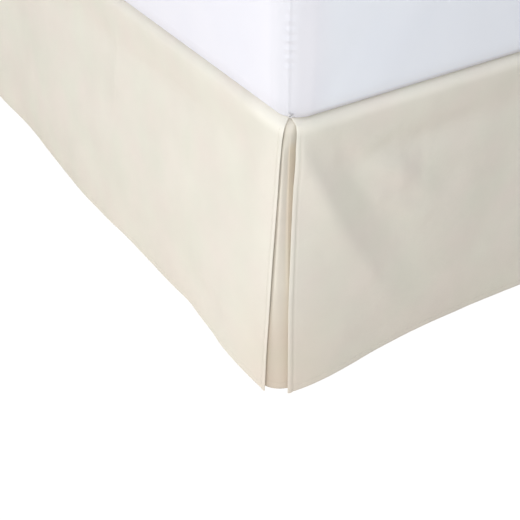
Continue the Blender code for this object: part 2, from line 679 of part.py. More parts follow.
def make_angle_bar(name, length, flange_up, material, collection):
    """A steel angle along local Y: a flat flange to +X from the heel, and one up or down from it."""
    outline = (
        (0.0, 0.0),
        (ANGLE_LEG, 0.0),
        (ANGLE_LEG, ANGLE_THICKNESS),
        (ANGLE_THICKNESS, ANGLE_THICKNESS),
        (ANGLE_THICKNESS, ANGLE_LEG),
        (0.0, ANGLE_LEG),
    )
    sign = 1 if flange_up else -1
    bm = bmesh.new()
    ring = [bm.verts.new((x, -length / 2, sign * z)) for x, z in outline]
    end = bm.faces.new(ring)
    grown = bmesh.ops.extrude_face_region(bm, geom=[end])["geom"]
    far_ring = [item for item in grown if isinstance(item, bmesh.types.BMVert)]
    bmesh.ops.translate(bm, vec=(0.0, length, 0.0), verts=far_ring)
    bmesh.ops.recalc_face_normals(bm, faces=bm.faces)
    mesh = bpy.data.meshes.new(name)
    bm.to_mesh(mesh)
    bm.free()
    return add_object(name, mesh, material, collection)


def make_side_rails(material, collection):
    """Two long angles: the box spring sits on their flat flanges, inside the upright ones."""
    heel = SIDE_X - BOX_SPRING_INSET + SEAT_GAP + ANGLE_THICKNESS
    length = BED_LENGTH - 2 * RAIL_END_INSET
    for name, side in (("rail_left", -1), ("rail_right", 1)):
        piece = make_angle_bar(name, length, True, material, collection)
        piece.rotation_euler.z = math.radians(90 + 90 * side)
        piece.location = (side * heel, BED_FORWARD, RAIL_TOP - ANGLE_THICKNESS)


def cross_rail_places():
    """Name and world y of each cross rail's middle."""
    reach = BED_LENGTH / 2 - CROSS_RAIL_FROM_END
    return (("foot", BED_FORWARD - reach), ("middle", BED_FORWARD), ("head", BED_FORWARD + reach))


def make_cross_rails(material, collection):
    length = BED_WIDTH - 2 * BOX_SPRING_INSET
    for name, y in cross_rail_places():
        piece = make_angle_bar(f"cross_rail_{name}", length, False, material, collection)
        piece.rotation_euler.z = math.radians(90)
        piece.location = (0.0, y - ANGLE_LEG / 2, CROSS_RAIL_TOP)


def make_turned(name, profile, material, collection):
    """A solid of revolution from (radius, height) points, listed from the top down."""
    mesh = bpy.data.meshes.new(name)
    points = [(radius, 0.0, height) for radius, height in profile]
    mesh.from_pydata(points, [(k, k + 1) for k in range(len(points) - 1)], [])
    piece = add_object(name, mesh, material, collection)
    screw = piece.modifiers.new("turned", "SCREW")
    screw.steps = ROUND_STEPS
    screw.render_steps = ROUND_STEPS
    screw.use_merge_vertices = True
    screw.merge_threshold = MERGE_DISTANCE
    screw.use_smooth_shade = False
    return piece


def make_legs(steel, plastic, collection):
    """A tube leg on a plastic glide under each end and the middle of every cross rail."""
    side_x = SIDE_X - SIDE_LEG_INSET
    glide_profile = (
        (0.0, GLIDE_HEIGHT),
        (GLIDE_TOP_RADIUS, GLIDE_HEIGHT),
        (GLIDE_RADIUS, GLIDE_HEIGHT - GLIDE_SOCKET_HEIGHT),
        (GLIDE_RADIUS, 0.0),
        (0.0, 0.0),
    )
    leg_bottom = GLIDE_HEIGHT + SEAT_GAP
    leg_profile = ((0.0, LEG_TOP), (LEG_RADIUS, LEG_TOP), (LEG_RADIUS, leg_bottom), (0.0, leg_bottom))
    leg_forward = (ANGLE_LEG - ANGLE_THICKNESS) / 2 - ANGLE_LEG / 2
    for row_name, y in cross_rail_places():
        for side_name, x in (("left", -side_x), ("centre", 0.0), ("right", side_x)):
            leg = make_turned(f"leg_{row_name}_{side_name}", leg_profile, steel, collection)
            glide = make_turned(f"glide_{row_name}_{side_name}", glide_profile, plastic, collection)
            leg.location = (x, y - leg_forward, 0.0)
            glide.location = (x, y - leg_forward, 0.0)


# --- Putting it together ---------------------------------------------------------------------------
def main():
    clear_scene()
    collection = bpy.data.collections.new(COLLECTION)
    bpy.context.scene.collection.children.link(collection)
    ivory = make_material("ivory twill", IVORY, 0.85)
    white = make_material("white cover", WHITE, 0.80)
    ticking = make_material("ticking", TICKING, 0.90)
    steel = make_material("brown enamelled steel", STEEL_BROWN, 0.45, 0.6)
    plastic = make_material("black plastic", BLACK_PLASTIC, 0.50)
    for drop in DROPS:
        make_drop(drop, ivory, collection)
    make_underlay("corner_underlay_left", 1, LEFT_CORNER, ivory, collection)
    make_underlay("corner_underlay_right", -1, RIGHT_CORNER, ivory, collection)
    make_deck(ivory, collection)
    make_mattress(white, collection)
    make_box_spring(ticking, collection)
    make_side_rails(steel, collection)
    make_cross_rails(steel, collection)
    make_legs(steel, plastic, collection)


main()
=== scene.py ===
import math
from collections import namedtuple

import bmesh
import bpy
import numpy as np
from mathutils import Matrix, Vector


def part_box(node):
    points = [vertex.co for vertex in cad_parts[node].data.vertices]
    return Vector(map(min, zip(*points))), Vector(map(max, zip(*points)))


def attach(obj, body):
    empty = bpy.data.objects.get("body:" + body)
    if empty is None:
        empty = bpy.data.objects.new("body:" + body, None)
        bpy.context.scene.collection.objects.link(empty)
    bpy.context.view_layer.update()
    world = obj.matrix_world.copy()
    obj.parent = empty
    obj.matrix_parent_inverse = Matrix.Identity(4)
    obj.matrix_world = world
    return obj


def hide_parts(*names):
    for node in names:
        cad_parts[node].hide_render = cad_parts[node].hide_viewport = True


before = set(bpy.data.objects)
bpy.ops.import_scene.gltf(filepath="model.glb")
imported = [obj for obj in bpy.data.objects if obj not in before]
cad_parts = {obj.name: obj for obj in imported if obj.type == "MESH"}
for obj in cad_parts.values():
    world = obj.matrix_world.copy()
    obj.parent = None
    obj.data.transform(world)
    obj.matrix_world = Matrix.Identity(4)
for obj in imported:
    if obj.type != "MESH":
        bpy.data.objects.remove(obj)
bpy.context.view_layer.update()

MM = 0.001


def in_mm(row, *rows):
    """Rows of a table whose numbers are all millimetres."""
    return tuple(row(*(number * MM for number in numbers)) for numbers in rows)


# --- Sizes of the skirt and the bed --------------------------------------------------------------
BED_WIDTH = 1524 * MM
BED_LENGTH = 2032 * MM
DROP = 381 * MM
SKIRT_TOP = 386 * MM
FOOT_Y = -992.75 * MM
HEAD_Y = FOOT_Y + BED_LENGTH
SIDE_X = BED_WIDTH / 2

# The cloth single and in a hem, how its hems fade in and out, and what its cut pieces allow.
TWILL = 0.9 * MM
TWILL_HEM = 2.0 * MM
HEM_WIDTH = 10 * MM
SIDE_HEM_WIDTH = 8 * MM
SIDE_HEM_FROM = 60 * MM
SIDE_HEM_FADE = 25 * MM
HEAD_HEM_FADE = 20 * MM
EDGE_HEM_SHARE = 0.3
EDGE_HEM_EASE = 3 * MM
HEM_EASE = 1.6 * MM

# A drop's lip on the box spring, its roll over the edge, its lean, and the reach of a split.
LIP_WIDTH = 14 * MM
ROLL_IN = 6 * MM
ROLL_OUT = 6.2 * MM
ROLL_SIZE = 3.5 * MM
SHOULDER_SIZE = 8 * MM
FOOT_SHOULDER = 6.5 * MM
SIDE_SHOULDER = 3.5 * MM
HANG_START = 30 * MM
HANG_POWER = 1.6
STRAIGHT_LEAN = 150 * MM
SPLIT_FADE_TOP = 26 * MM
SPLIT_FADE = 76 * MM
SPLIT_FADE_DEPTH = 40 * MM
SPLIT_FADE_POWER = 2.2
SHEAR_FADE = 120 * MM
MITRE_GAP = 1.8 * MM
FOLD_FREE_DEPTH = 30 * MM

# The underlay behind the drops: its roll and reach at the corner and on its wings, and the
# radius that it turns the corner with, at the top, just below and at the hem.
UNDERLAY_BEHIND = 1.75 * MM
UNDERLAY_WING = 118 * MM
UNDERLAY_ROLL_OUT = 2.2 * MM
UNDERLAY_WING_ROLL_OUT = 0.4 * MM
UNDERLAY_WING_TURN = 80 * MM
UNDERLAY_REACH = 35 * MM
UNDERLAY_WING_REACH = 22 * MM
UNDERLAY_LEAN_START = 8 * MM
UNDERLAY_HEM_RAISE = 1.5 * MM
UNDERLAY_CORNER_TOP = 13 * MM
UNDERLAY_CORNER_LEAST = 6 * MM
UNDERLAY_CORNER_SETTLE = 9 * MM
UNDERLAY_CORNER_HEM = 36 * MM
UNDERLAY_CORNER_POWER = 2.2

# The stitch line that holds a hem, how it draws the cloth in, and the puckers beside it.
STITCH_IN = 1.6 * MM
STITCH_DIP = 0.30 * MM
STITCH_SPREAD = 1.1 * MM
SIDE_STITCH_EASE = 30 * MM
HEM_SEAM = DROP - HEM_WIDTH + STITCH_IN
UNDERLAY_SEAM = DROP - UNDERLAY_HEM_RAISE - HEM_WIDTH + STITCH_IN
SIDE_SEAM = SIDE_HEM_WIDTH - STITCH_IN
PUCKER_HEIGHT = 0.16 * MM
PUCKER_REACH = 9 * MM
SLACK_HEIGHT = 0.35 * MM
EDGE_BULGE = 1.0 * MM
EDGE_BULGE_IN = 2.6 * MM
EDGE_BULGE_SPREAD = 2.0 * MM

# How far a rounded rim takes in: from the side, and from the top or the bottom.
Rim = namedtuple("Rim", "inward tall")
MATTRESS_CORNER = 34 * MM
MATTRESS_TOP_RIM = Rim(24 * MM, 30 * MM)
MATTRESS_BOTTOM_RIM = Rim(10 * MM, 24 * MM)
BOX_SPRING_CORNER = 30 * MM
BOX_SPRING_RIM = Rim(12 * MM, 12 * MM)

# A drop's free edge at a split, by distance down the cloth from the bed's top edge: how far it
# stands out of its own side, and how far it reaches past the corner.
SplitEdge = namedtuple("SplitEdge", "down side_out side_past foot_out foot_past")
SPLIT_EDGES = in_mm(
    SplitEdge,
    (0, -8, -9.8, -8, -9.8), (6, 4.8, -0.3, 4.5, -9), (31, 10.4, 2.7, 10.5, -4.4),
    (94, 17.4, 6.5, 16.9, 1.9), (161, 24.9, 10.4, 23.8, 7.7), (234, 31.5, 13.8, 30.2, 13),
    (311, 38.5, 17.6, 36.6, 16.5), (381, 43, 20, 41, 18.4),
)

# How far the hem stands out of the bed's side, by distance along the drop from its foot corner
# (from the left one on the foot drop).
Reach = namedtuple("Reach", "along out")
LEFT_REACH = in_mm(
    Reach,
    (0, 47), (50, 47), (90, 46), (120, 43), (155, 41), (200, 38), (240, 40), (320, 42.5),
    (400, 44.5), (460, 48.5), (560, 52), (690, 49), (840, 44), (1000, 49), (1160, 51), (1330, 46),
    (1520, 44), (1700, 49), (1870, 50), (2032, 47),
)
RIGHT_REACH = in_mm(
    Reach,
    (0, 46.5), (60, 47), (130, 44), (220, 40), (330, 43), (450, 49), (580, 52), (740, 47),
    (900, 43), (1080, 46), (1240, 51), (1420, 49), (1600, 44), (1800, 46), (2032, 49),
)
FOOT_REACH = in_mm(
    Reach,
    (0, 46.5), (26, 46), (70, 42), (115, 37), (149, 34), (195, 31.5), (253, 30.5), (340, 32.5),
    (450, 37.5), (570, 42), (700, 43), (840, 40.5), (960, 42.5), (1080, 40), (1200, 35.5),
    (1310, 35), (1400, 39), (1470, 44), (1524, 46.5),
)

# Soft folds, each a straight ridge (height above zero) or trough (below zero) from one end to the
# other, in places along the drop and levels down the cloth.
Fold = namedtuple("Fold", "along_from level_from along_to level_to width height")
LEFT_FOLDS = in_mm(
    Fold,
    (442, 60, 436, 150, 24, 2.2), (486, 70, 478, 180, 26, -1.8), (700, 90, 720, 300, 55, 2.6),
    (900, 60, 860, 260, 60, -2.6), (1290, 80, 1330, 300, 60, -2.4), (1640, 90, 1600, 280, 60, 2.6),
)
RIGHT_FOLDS = in_mm(
    Fold,
    (240, 80, 270, 250, 45, -2.4), (470, 70, 440, 260, 50, 2.4), (820, 60, 860, 280, 60, -2.6),
    (1150, 90, 1120, 290, 60, 2.6), (1520, 70, 1560, 260, 60, -2.2),
)
FOOT_FOLDS = in_mm(
    Fold,
    (360, 60, 330, 250, 45, -2.2), (620, 70, 650, 280, 55, 2.4), (860, 60, 840, 260, 55, -2.4),
    (1180, 80, 1150, 270, 50, 2.2), (1470, 50, 1400, 230, 30, -1.8),
)

# Curved folds (sweeps) run down the cloth: at each depth, the fold's place along the drop, its
# width and its height. Bands run along it: at each place along the drop, the fold's depth.
FoldRow = namedtuple("FoldRow", "at place width height")
FOOT_SWEEPS = (
    in_mm(
        FoldRow,
        (8, 8, 12, 0), (50, 17, 15, 3.6), (80, 30, 20, 5.4), (110, 45, 25, 6.2),
        (150, 60, 29, 5.8), (200, 84, 32, 4.6), (260, 120, 34, 3), (320, 172, 34, 1.6),
        (381, 236, 34, 0),
    ),
    in_mm(
        FoldRow,
        (20, 56, 20, 0), (60, 74, 20, -2.6), (100, 99, 22, -4.2), (140, 122, 25, -3.8),
        (200, 156, 30, -2.6), (260, 188, 32, -1.6), (320, 240, 36, -0.8), (381, 300, 36, 0),
    ),
    in_mm(
        FoldRow,
        (24, 96, 22, 0), (60, 120, 22, 1.8), (100, 154, 24, 3.8), (140, 196, 28, 3.2),
        (200, 238, 34, 1.6), (270, 262, 36, 0),
    ),
)
FOOT_BANDS = (
    in_mm(
        FoldRow,
        (56, 66, 20, 0), (110, 70, 20, -3.6), (160, 72, 21, -5.2), (230, 71, 22, -5.2),
        (360, 66, 24, -2.2), (700, 68, 26, -1.6), (1200, 66, 24, -2.2), (1460, 66, 22, 0),
    ),
)
LEFT_SWEEPS = (
    in_mm(
        FoldRow,
        (10, 22, 16, 0), (60, 30, 20, 2), (130, 36, 24, 1.6), (260, 44, 26, 0),
    ),
    in_mm(
        FoldRow,
        (10, 72, 22, 0), (50, 78, 24, -1.6), (130, 84, 26, -1.2), (220, 86, 28, 0),
    ),
    in_mm(
        FoldRow,
        (60, 226, 44, 0), (120, 222, 44, 1.6), (200, 218, 46, 1.6), (300, 210, 50, 0),
    ),
)
LEFT_BANDS = (
    in_mm(
        FoldRow,
        (50, 60, 22, 0), (100, 64, 24, -1.8), (150, 64, 24, -2.4), (220, 66, 24, -3.8),
        (300, 68, 25, -4.4), (400, 70, 26, -4.2), (520, 72, 27, -3.2), (1000, 66, 26, -1.6),
        (1500, 64, 26, -2.4), (2032, 66, 26, -1.4),
    ),
    in_mm(
        FoldRow,
        (60, 205, 50, 0), (160, 214, 50, 1.6), (300, 216, 52, 1.8), (540, 208, 54, 2.2),
        (900, 220, 56, 0),
    ),
)
RIGHT_SWEEPS = (
    in_mm(
        FoldRow,
        (10, 20, 16, 0), (70, 32, 20, 2.4), (140, 44, 24, 2.2), (270, 70, 28, 0),
    ),
)
RIGHT_BANDS = (
    in_mm(
        FoldRow,
        (60, 64, 22, 0), (160, 64, 22, -1.8), (500, 66, 26, -2.4), (1100, 66, 26, -1.6),
        (1600, 64, 26, -2.4), (2032, 66, 26, -1.4),
    ),
)

# Small creases of the cloth itself, on top of the folds: lighter, narrower and less regular.
LEFT_CREASES = in_mm(
    Fold,
    (204, 90, 214, 240, 8, 0.35), (330, 40, 300, 190, 16, 0.5), (390, 145, 440, 128, 8, 0.5),
    (443, 58, 440, 140, 6, 0.6), (110, 322, 210, 320, 14, -1), (300, 300, 380, 345, 18, -0.5),
    (560, 250, 600, 340, 22, 0.7), (1010, 200, 1050, 330, 24, 0.7),
    (1450, 120, 1430, 260, 20, -0.6), (1800, 180, 1830, 330, 24, 0.7),
)
FOOT_CREASES = in_mm(
    Fold,
    (8, 10, 10, 64, 5, 0.7), (2, 44, 118, 240, 12, 1.2), (80, 72, 130, 132, 11, 1.25),
    (134, 138, 205, 184, 12, 1.35), (158, 66, 164, 122, 12, 1), (196, 70, 196, 125, 10, -0.8),
    (100, 60, 150, 45, 8, 0.7), (20, 40, 75, 50, 4, -0.35), (30, 84, 70, 92, 5, 0.4),
    (28, 60, 78, 74, 6, -0.5), (84, 48, 132, 96, 9, 0.5), (150, 128, 200, 196, 10, 0.5),
    (96, 226, 108, 232, 6, -0.4), (84, 338, 210, 352, 16, -0.5), (520, 180, 560, 320, 22, 0.7),
    (960, 150, 930, 300, 22, 0.6), (1300, 120, 1330, 280, 20, -0.6),
)
RIGHT_CREASES = in_mm(
    Fold,
    (150, 60, 190, 170, 20, 0.7), (330, 200, 360, 330, 20, -0.6), (700, 120, 680, 280, 22, 0.7),
    (1290, 180, 1340, 320, 24, 0.7), (1730, 90, 1700, 240, 20, -0.6),
)

# Long shallow waves that run down the cloth, never quite upright.
Wave = namedtuple("Wave", "length lean start share")
SLACK = (
    Wave(173 * MM, 0.31, 0.4, 0.40),
    Wave(97 * MM, -0.22, 2.1, 0.30),
    Wave(61 * MM, 0.47, 4.4, 0.20),
    Wave(38 * MM, -0.35, 1.3, 0.10),
)
PUCKERS = (
    Wave(23 * MM, 0.0, 0.7, 0.40),
    Wave(14 * MM, 0.0, 2.9, 0.35),
    Wave(9 * MM, 0.0, 5.1, 0.25),
)

# Each drop runs along an axis from its foot corner and stands out along another. A split is at a
# place along the drop, and the cloth lies to the side of it that its sign gives.
Drop = namedtuple(
    "Drop",
    "name length reach folds sweeps bands creases shoulder splits is_foot corner along_axis out_axis",
)
LEFT_CORNER = (-SIDE_X, FOOT_Y)
RIGHT_CORNER = (SIDE_X, FOOT_Y)
SIDE_SPLITS = ((0.0, 1),)
FOOT_SPLITS = ((0.0, 1), (BED_WIDTH, -1))
DROP_LEFT = Drop(
    "drop_left", BED_LENGTH, LEFT_REACH, LEFT_FOLDS, LEFT_SWEEPS, LEFT_BANDS, LEFT_CREASES,
    SIDE_SHOULDER, SIDE_SPLITS, False, LEFT_CORNER, (0, 1, 0), (-1, 0, 0),
)
DROP_FOOT = Drop(
    "drop_foot", BED_WIDTH, FOOT_REACH, FOOT_FOLDS, FOOT_SWEEPS, FOOT_BANDS, FOOT_CREASES,
    FOOT_SHOULDER, FOOT_SPLITS, True, LEFT_CORNER, (1, 0, 0), (0, -1, 0),
)
DROP_RIGHT = Drop(
    "drop_right", BED_LENGTH, RIGHT_REACH, RIGHT_FOLDS, RIGHT_SWEEPS, RIGHT_BANDS, RIGHT_CREASES,
    SIDE_SHOULDER, SIDE_SPLITS, False, RIGHT_CORNER, (0, 1, 0), (1, 0, 0),
)

# Soft upright bends of the underlay behind a split, by share of the corner's turn. They start a
# little below the top, stand out most half way down, and die away along the wings.
Bend = namedtuple("Bend", "turn width height")
UNDERLAY_BENDS = (Bend(-0.80, 1.10, 3.9 * MM), Bend(1.00, 0.35, 0.8 * MM))
BEND_START = 8 * MM
BEND_EASE = 30 * MM
BEND_WING_REACH = 45 * MM
BEND_SWELL = 0.6

# How finely the cloth is ruled, down it and along it, in spans of start, end and step.
RIM_STEPS = 3
HEM_ROWS = 15 * MM
HEM_ROW = 1.25 * MM
PLAIN_ROW = 6.0 * MM
TURN_ROWS = ((0.0, 3 * MM, 0.5 * MM), (3 * MM, 12 * MM, 1.0 * MM))
LIP_ROWS = (-LIP_WIDTH, 0.0, 3.5 * MM)
UPPER_ROWS = (12 * MM, 24 * MM, 3.0 * MM)
EDGE_COLUMNS = 12 * MM
SPLIT_COLUMN = 1.2 * MM
HEAD_HEM_COLUMN = 1.5 * MM
CREASED_COLUMNS = (EDGE_COLUMNS, 480 * MM, 4.0 * MM)
PLAIN_COLUMN = 11 * MM
FAR_SPLIT_COLUMNS = 160 * MM
FAR_SPLIT_COLUMN = 5.5 * MM
UNDERLAY_TURN_STEP = 0.04
UNDERLAY_WING_STEP = 5 * MM
DECK_STEP = 24 * MM

# Points of a seam line, where it starts, and how far its stitches stand off the cloth.
STITCH_STEP = 3 * MM
STITCH_TOP = 9 * MM
STITCH_LIFT = 0.12 * MM

# The fitted sheet: where its sides end and its top starts by the way it faces, its full sides and
# soft top, the raised seam at its foot corners (at a turn in degrees from the foot), and the
# puckers on both sides of the seam.
SIDE_END = 1.4
TOP_START = 0.3
SIDE_FULLNESS = 2.0 * MM
SIDE_FULLNESS_POWER = 0.7
TOP_SOFTNESS = 1.6 * MM
SEAM_TURN = 51
SEAM_HEIGHT = 1.3 * MM
SEAM_WIDTH = 1.6 * MM
SEAM_REACH = 6 * MM
CORNER_PUCKER = 1.3 * MM
SEAM_PUCKER_PITCH = 12 * MM
SEAM_PUCKERS_FROM = 425 * MM
SEAM_PUCKERS_EASE = 45 * MM
BOX_SPRING_SLACK = 0.9 * MM

# The mattress is ruled finely this far across, along and up from its foot corners, and most
# finely in the corners.
MATTRESS_FINE = (0.36, 0.46, 0.17)
CORNER_STEP = 1.35 * MM
HEAD_CORNER_STEP = 5 * MM
FINE_STEP = 6 * MM
WIDE_STEP = 22 * MM
RIM_RISE = 1.75 * MM
SEAM_RISE = 3.2 * MM
SIDE_RISE = 8 * MM
TOP_RISE = 5 * MM

# Faint drags of the sheet on its foot side and its long sides, in places from the foot corner and
# heights above the floor, as folds are.
FOOT_DRAGS = in_mm(
    Fold,
    (40, 400, 90, 470, 16, -0.5), (120, 405, 180, 520, 24, 0.7), (300, 420, 260, 560, 26, -0.7),
    (620, 430, 680, 570, 30, 0.8), (1080, 420, 1020, 560, 30, -0.8),
)
SIDE_DRAGS = in_mm(
    Fold,
    (60, 398, 110, 460, 18, -0.5), (210, 410, 160, 530, 26, 0.7), (420, 420, 470, 560, 28, -0.7),
    (900, 430, 850, 570, 32, 0.8), (1500, 420, 1560, 560, 32, -0.8),
)

# The curled end of the sheet's corner seam: its way round, in millimetres to the side and up, and
# its middle's place in from the mattress's corner and up from its lower face.
TUCK_PATH = (
    (-0.4, 2.3), (-2.4, 2.9), (-3.3, 1.1), (-2.5, -1.2), (-0.2, -2.0), (1.9, -1.5), (2.9, 0.1),
    (1.7, 1.2), (0.3, 0.3),
)
TUCK_STEPS = 29
TUCK_COLUMNS = 7
TUCK_HALF_WIDTH = 2.0 * MM
TUCK_TAPER = 0.25
TUCK_IN = 8.5 * MM
TUCK_UP = 7.0 * MM

# The deck keeps clear of the lips round it and lies a little below its solid's top.
DECK_INSET = 0.6 * MM
DECK_BELOW = 0.12 * MM
DECK_RIPPLE = 0.06 * MM
PIPING_IN = 1.0 * MM
PIPING_RADIUS = 2.2 * MM
PIPING_CORNER_STEPS = 8


# --- Camera, light and floor -----------------------------------------------------------------------
CAMERA_FROM_CORNER = Vector((-511.0, -754.5, 870.9)) * MM
CAMERA_TURN = math.radians(-32.15)
CAMERA_DIP = math.radians(36.857)
CAMERA_LENS = 63.28
CAMERA_SENSOR = 36.0
HEM_ABOVE_FLOOR = 5 * MM
ROOM_STRENGTH = 0.385
ROOM_WHITE = (0.975, 0.99, 1.0, 1.0)
# Square lamps aimed at the left foot corner: the side they stand on (degrees from the foot towards
# the left side), their height above the horizon, distance, width, power and colour.
Lamp = namedtuple("Lamp", "name side height distance width power colour")
LAMPS = (
    Lamp("key_front_left", 44, 12, 2.2, 1.2, 23, (1.0, 0.995, 0.99)),
    Lamp("soft_left", 125, 15, 8.0, 5.0, 256, (1.0, 1.0, 0.995)),
    Lamp("cool_window_front", 20, 58, 4.0, 2.6, 28, (0.92, 0.97, 1.03)),
    Lamp("fill_back_right", 220, 35, 6.0, 4.0, 120, (1.0, 1.0, 1.0)),
)
LAMP_TARGET = Vector((*LEFT_CORNER, DROP / 2))
# The floor that lights the bed, darker beside it, and the white sheet that ends under its edges.
FLOOR_SIZE = 9.0
FLOOR_BOUNCE = (0.62, 0.56, 0.51)
FLOOR_SHADED = (0.66, 0.58, 0.51)
FLOOR_SHADE_START = 0.02
FLOOR_SHADE_REACH = 0.35
FLOOR_SHEET_GREY = (0.25, 0.25, 0.25, 1.0)
FLOOR_SHEET_INSET = 0.06


def put_in_scene(name, data):
    thing = bpy.data.objects.new(name, data)
    bpy.context.scene.collection.objects.link(thing)
    return thing


def make_camera():
    """Looks down on the left foot corner from beyond the foot of the bed."""
    data = bpy.data.cameras.new("camera")
    data.lens = CAMERA_LENS
    data.sensor_width = CAMERA_SENSOR
    camera = put_in_scene("camera", data)
    camera.location = Vector((*LEFT_CORNER, HEM_ABOVE_FLOOR)) + CAMERA_FROM_CORNER
    level = math.cos(CAMERA_DIP)
    ahead = Vector((-math.sin(CAMERA_TURN) * level, math.cos(CAMERA_TURN) * level, -math.sin(CAMERA_DIP)))
    camera.rotation_euler = ahead.to_track_quat("-Z", "Y").to_euler()
    bpy.context.scene.camera = camera


def make_lights():
    """A key lamp front left, a soft one left, a cool one high in front, a fill behind: a white room."""
    world = bpy.data.worlds.new("white_room")
    world.use_nodes = True
    sky = world.node_tree.nodes["Background"]
    sky.inputs["Color"].default_value = ROOM_WHITE
    sky.inputs["Strength"].default_value = ROOM_STRENGTH
    bpy.context.scene.world = world
    for lamp in LAMPS:
        data = bpy.data.lights.new(lamp.name, "AREA")
        data.energy = lamp.power
        data.size = lamp.width
        data.color = lamp.colour
        light = put_in_scene(lamp.name, data)
        side = math.radians(lamp.side)
        height = math.radians(lamp.height)
        level = math.cos(height)
        towards = Vector((-math.sin(side) * level, -math.cos(side) * level, math.sin(height)))
        light.location = LAMP_TARGET + lamp.distance * towards
        light.rotation_euler = towards.to_track_quat("Z", "Y").to_euler()


# --- Node trees ------------------------------------------------------------------------------------
def feed(tree, socket, value):
    """Gives a socket another node's output or a plain value."""
    if isinstance(value, bpy.types.NodeSocket):
        tree.links.new(value, socket)
    else:
        socket.default_value = value


def add_node(tree, kind, name, inputs=(), **settings):
    """A node with its settings, its plain input values and its links from other nodes' outputs."""
    node = tree.nodes.new(kind)
    node.name = name
    node.label = name
    for key, value in settings.items():
        setattr(node, key, value)
    for key, value in dict(inputs).items():
        feed(tree, node.inputs[key], value)
    return node


def new_finish(name, roughness, **sockets):
    """A material with plain numbers on its shader's own sockets."""
    material = bpy.data.materials.new(name)
    material.use_nodes = True
    shader = material.node_tree.nodes["Principled BSDF"]
    shader.inputs["Roughness"].default_value = roughness
    for key, value in sockets.items():
        shader.inputs[key.replace("_", " ")].default_value = value
    return material, material.node_tree, shader


def noise(tree, name, place, scale, detail=2.0, roughness=0.5):
    inputs = {"Vector": place, "Scale": scale, "Detail": detail, "Roughness": roughness}
    return add_node(tree, "ShaderNodeTexNoise", name, inputs).outputs["Fac"]


def threads(tree, name, place, direction, pitch, distortion=0.0):
    """Ridges of yarn, a pitch apart, in one direction."""
    inputs = {"Vector": place, "Scale": 2 * math.pi / (10 * pitch), "Distortion": distortion}
    node = add_node(tree, "ShaderNodeTexWave", name, inputs, bands_direction=direction)
    return node.outputs["Fac"]


def stretch(tree, name, place, scale):
    """Coordinates scaled on each axis, which draws a pattern out along the others."""
    return add_node(tree, "ShaderNodeMapping", name, {"Vector": place, "Scale": scale}).outputs["Vector"]


def axes(tree, name, place):
    return add_node(tree, "ShaderNodeSeparateXYZ", name, {"Vector": place}).outputs


def blend_colours(tree, name, share, low, high):
    """A colour between two tones by a share from a pattern."""
    ramp = add_node(tree, "ShaderNodeValToRGB", name, {"Fac": share})
    for stop, position, tone in zip(ramp.color_ramp.elements, (0.30, 0.70), (low, high)):
        stop.position = position
        stop.color = (*tone, 1.0)
    return ramp.outputs["Color"]


def span(tree, name, share, low, high):
    """A number between two limits by a share from a pattern."""
    inputs = {"Value": share, "To Min": low, "To Max": high}
    return add_node(tree, "ShaderNodeMapRange", name, inputs).outputs["Result"]


def span_between(tree, name, value, low, high):
    """0 at one place and 1 at another, softly between them."""
    inputs = {"Value": value, "From Min": low, "From Max": high}
    node = add_node(tree, "ShaderNodeMapRange", name, inputs, interpolation_type="SMOOTHSTEP")
    return node.outputs["Result"]


def arithmetic(tree, name, operation, *values):
    node = add_node(tree, "ShaderNodeMath", name, operation=operation)
    for socket, value in zip(node.inputs, values):
        feed(tree, socket, value)
    return node.outputs["Value"]


def mix_colours(tree, name, share, first, second, kind="MIX"):
    node = add_node(tree, "ShaderNodeMix", name, data_type="RGBA", blend_type=kind)
    for number, value in ((0, share), (6, first), (7, second)):
        feed(tree, node.inputs[number], (*value, 1.0) if isinstance(value, tuple) else value)
    return node.outputs[2]


def tint(tree, name, colour, share, tone):
    """A colour multiplied by a tone, as far as a share says."""
    toned = mix_colours(tree, f"tone of the {name}", share, PLAIN, tone)
    return mix_colours(tree, name, 1.0, colour, toned, "MULTIPLY")


def raise_bump(tree, shader, heights):
    """Bumps one after another, each from (height, strength, distance)."""
    normal = None
    for k, (height, strength, distance) in enumerate(heights):
        inputs = {"Height": height, "Strength": strength, "Distance": distance}
        if normal is not None:
            inputs["Normal"] = normal
        normal = add_node(tree, "ShaderNodeBump", f"bump {k + 1}", inputs).outputs["Normal"]
    tree.links.new(normal, shader.inputs["Normal"])


def dress_shader(tree, shader, colour, bumps, roughness=None):
    tree.links.new(colour, shader.inputs["Base Color"])
    if roughness is not None:
        tree.links.new(roughness, shader.inputs["Roughness"])
    raise_bump(tree, shader, bumps)


def cloth_place(tree):
    """The piece's own cloth coordinates, along and down in metres."""
    return add_node(tree, "ShaderNodeUVMap", "cloth coordinates", uv_map="cloth").outputs["UV"]


def object_place(tree):
    return add_node(tree, "ShaderNodeTexCoord", "piece coordinates").outputs["Object"]


# --- Finishes --------------------------------------------------------------------------------------
PLAIN = (1.0, 1.0, 1.0)
IVORY_TONES = ((0.787, 0.760, 0.686), (0.837, 0.811, 0.734))
# The underlay is the same ivory twill, painted darker and warmer as the shade of its recess behind the drops.
UNDERLAY_SHADED_TONES = ((0.750, 0.708, 0.622), (0.797, 0.750, 0.664))
# Painted tan shade deep in the split, standing in for warm light bounced between the cloths.
UNDERLAY_TAN_SHADE = (0.99, 0.935, 0.86)
# Painted shade on the underlay, darker towards the hem.
UNDERLAY_LOW_SHADE = (0.95, 0.935, 0.915)
PINKISH = (1.015, 0.990, 0.995)
GREENISH = (0.990, 1.008, 0.990)
# Painted highlight on the twill's roll over the bed's edge, and how far from a foot corner it reaches.
TURN_HIGHLIGHT_TONE = (1.12, 1.12, 1.13)
TURN_HIGHLIGHT_REACH = 90 * MM
# Painted warm shade for the twill low beside a split, standing in for warm light bounced off the floor.
WARM_SHADE_TONE = (0.965, 0.935, 0.915)
PERCALE_TONES = ((0.855, 0.872, 0.945), (0.885, 0.897, 0.96))
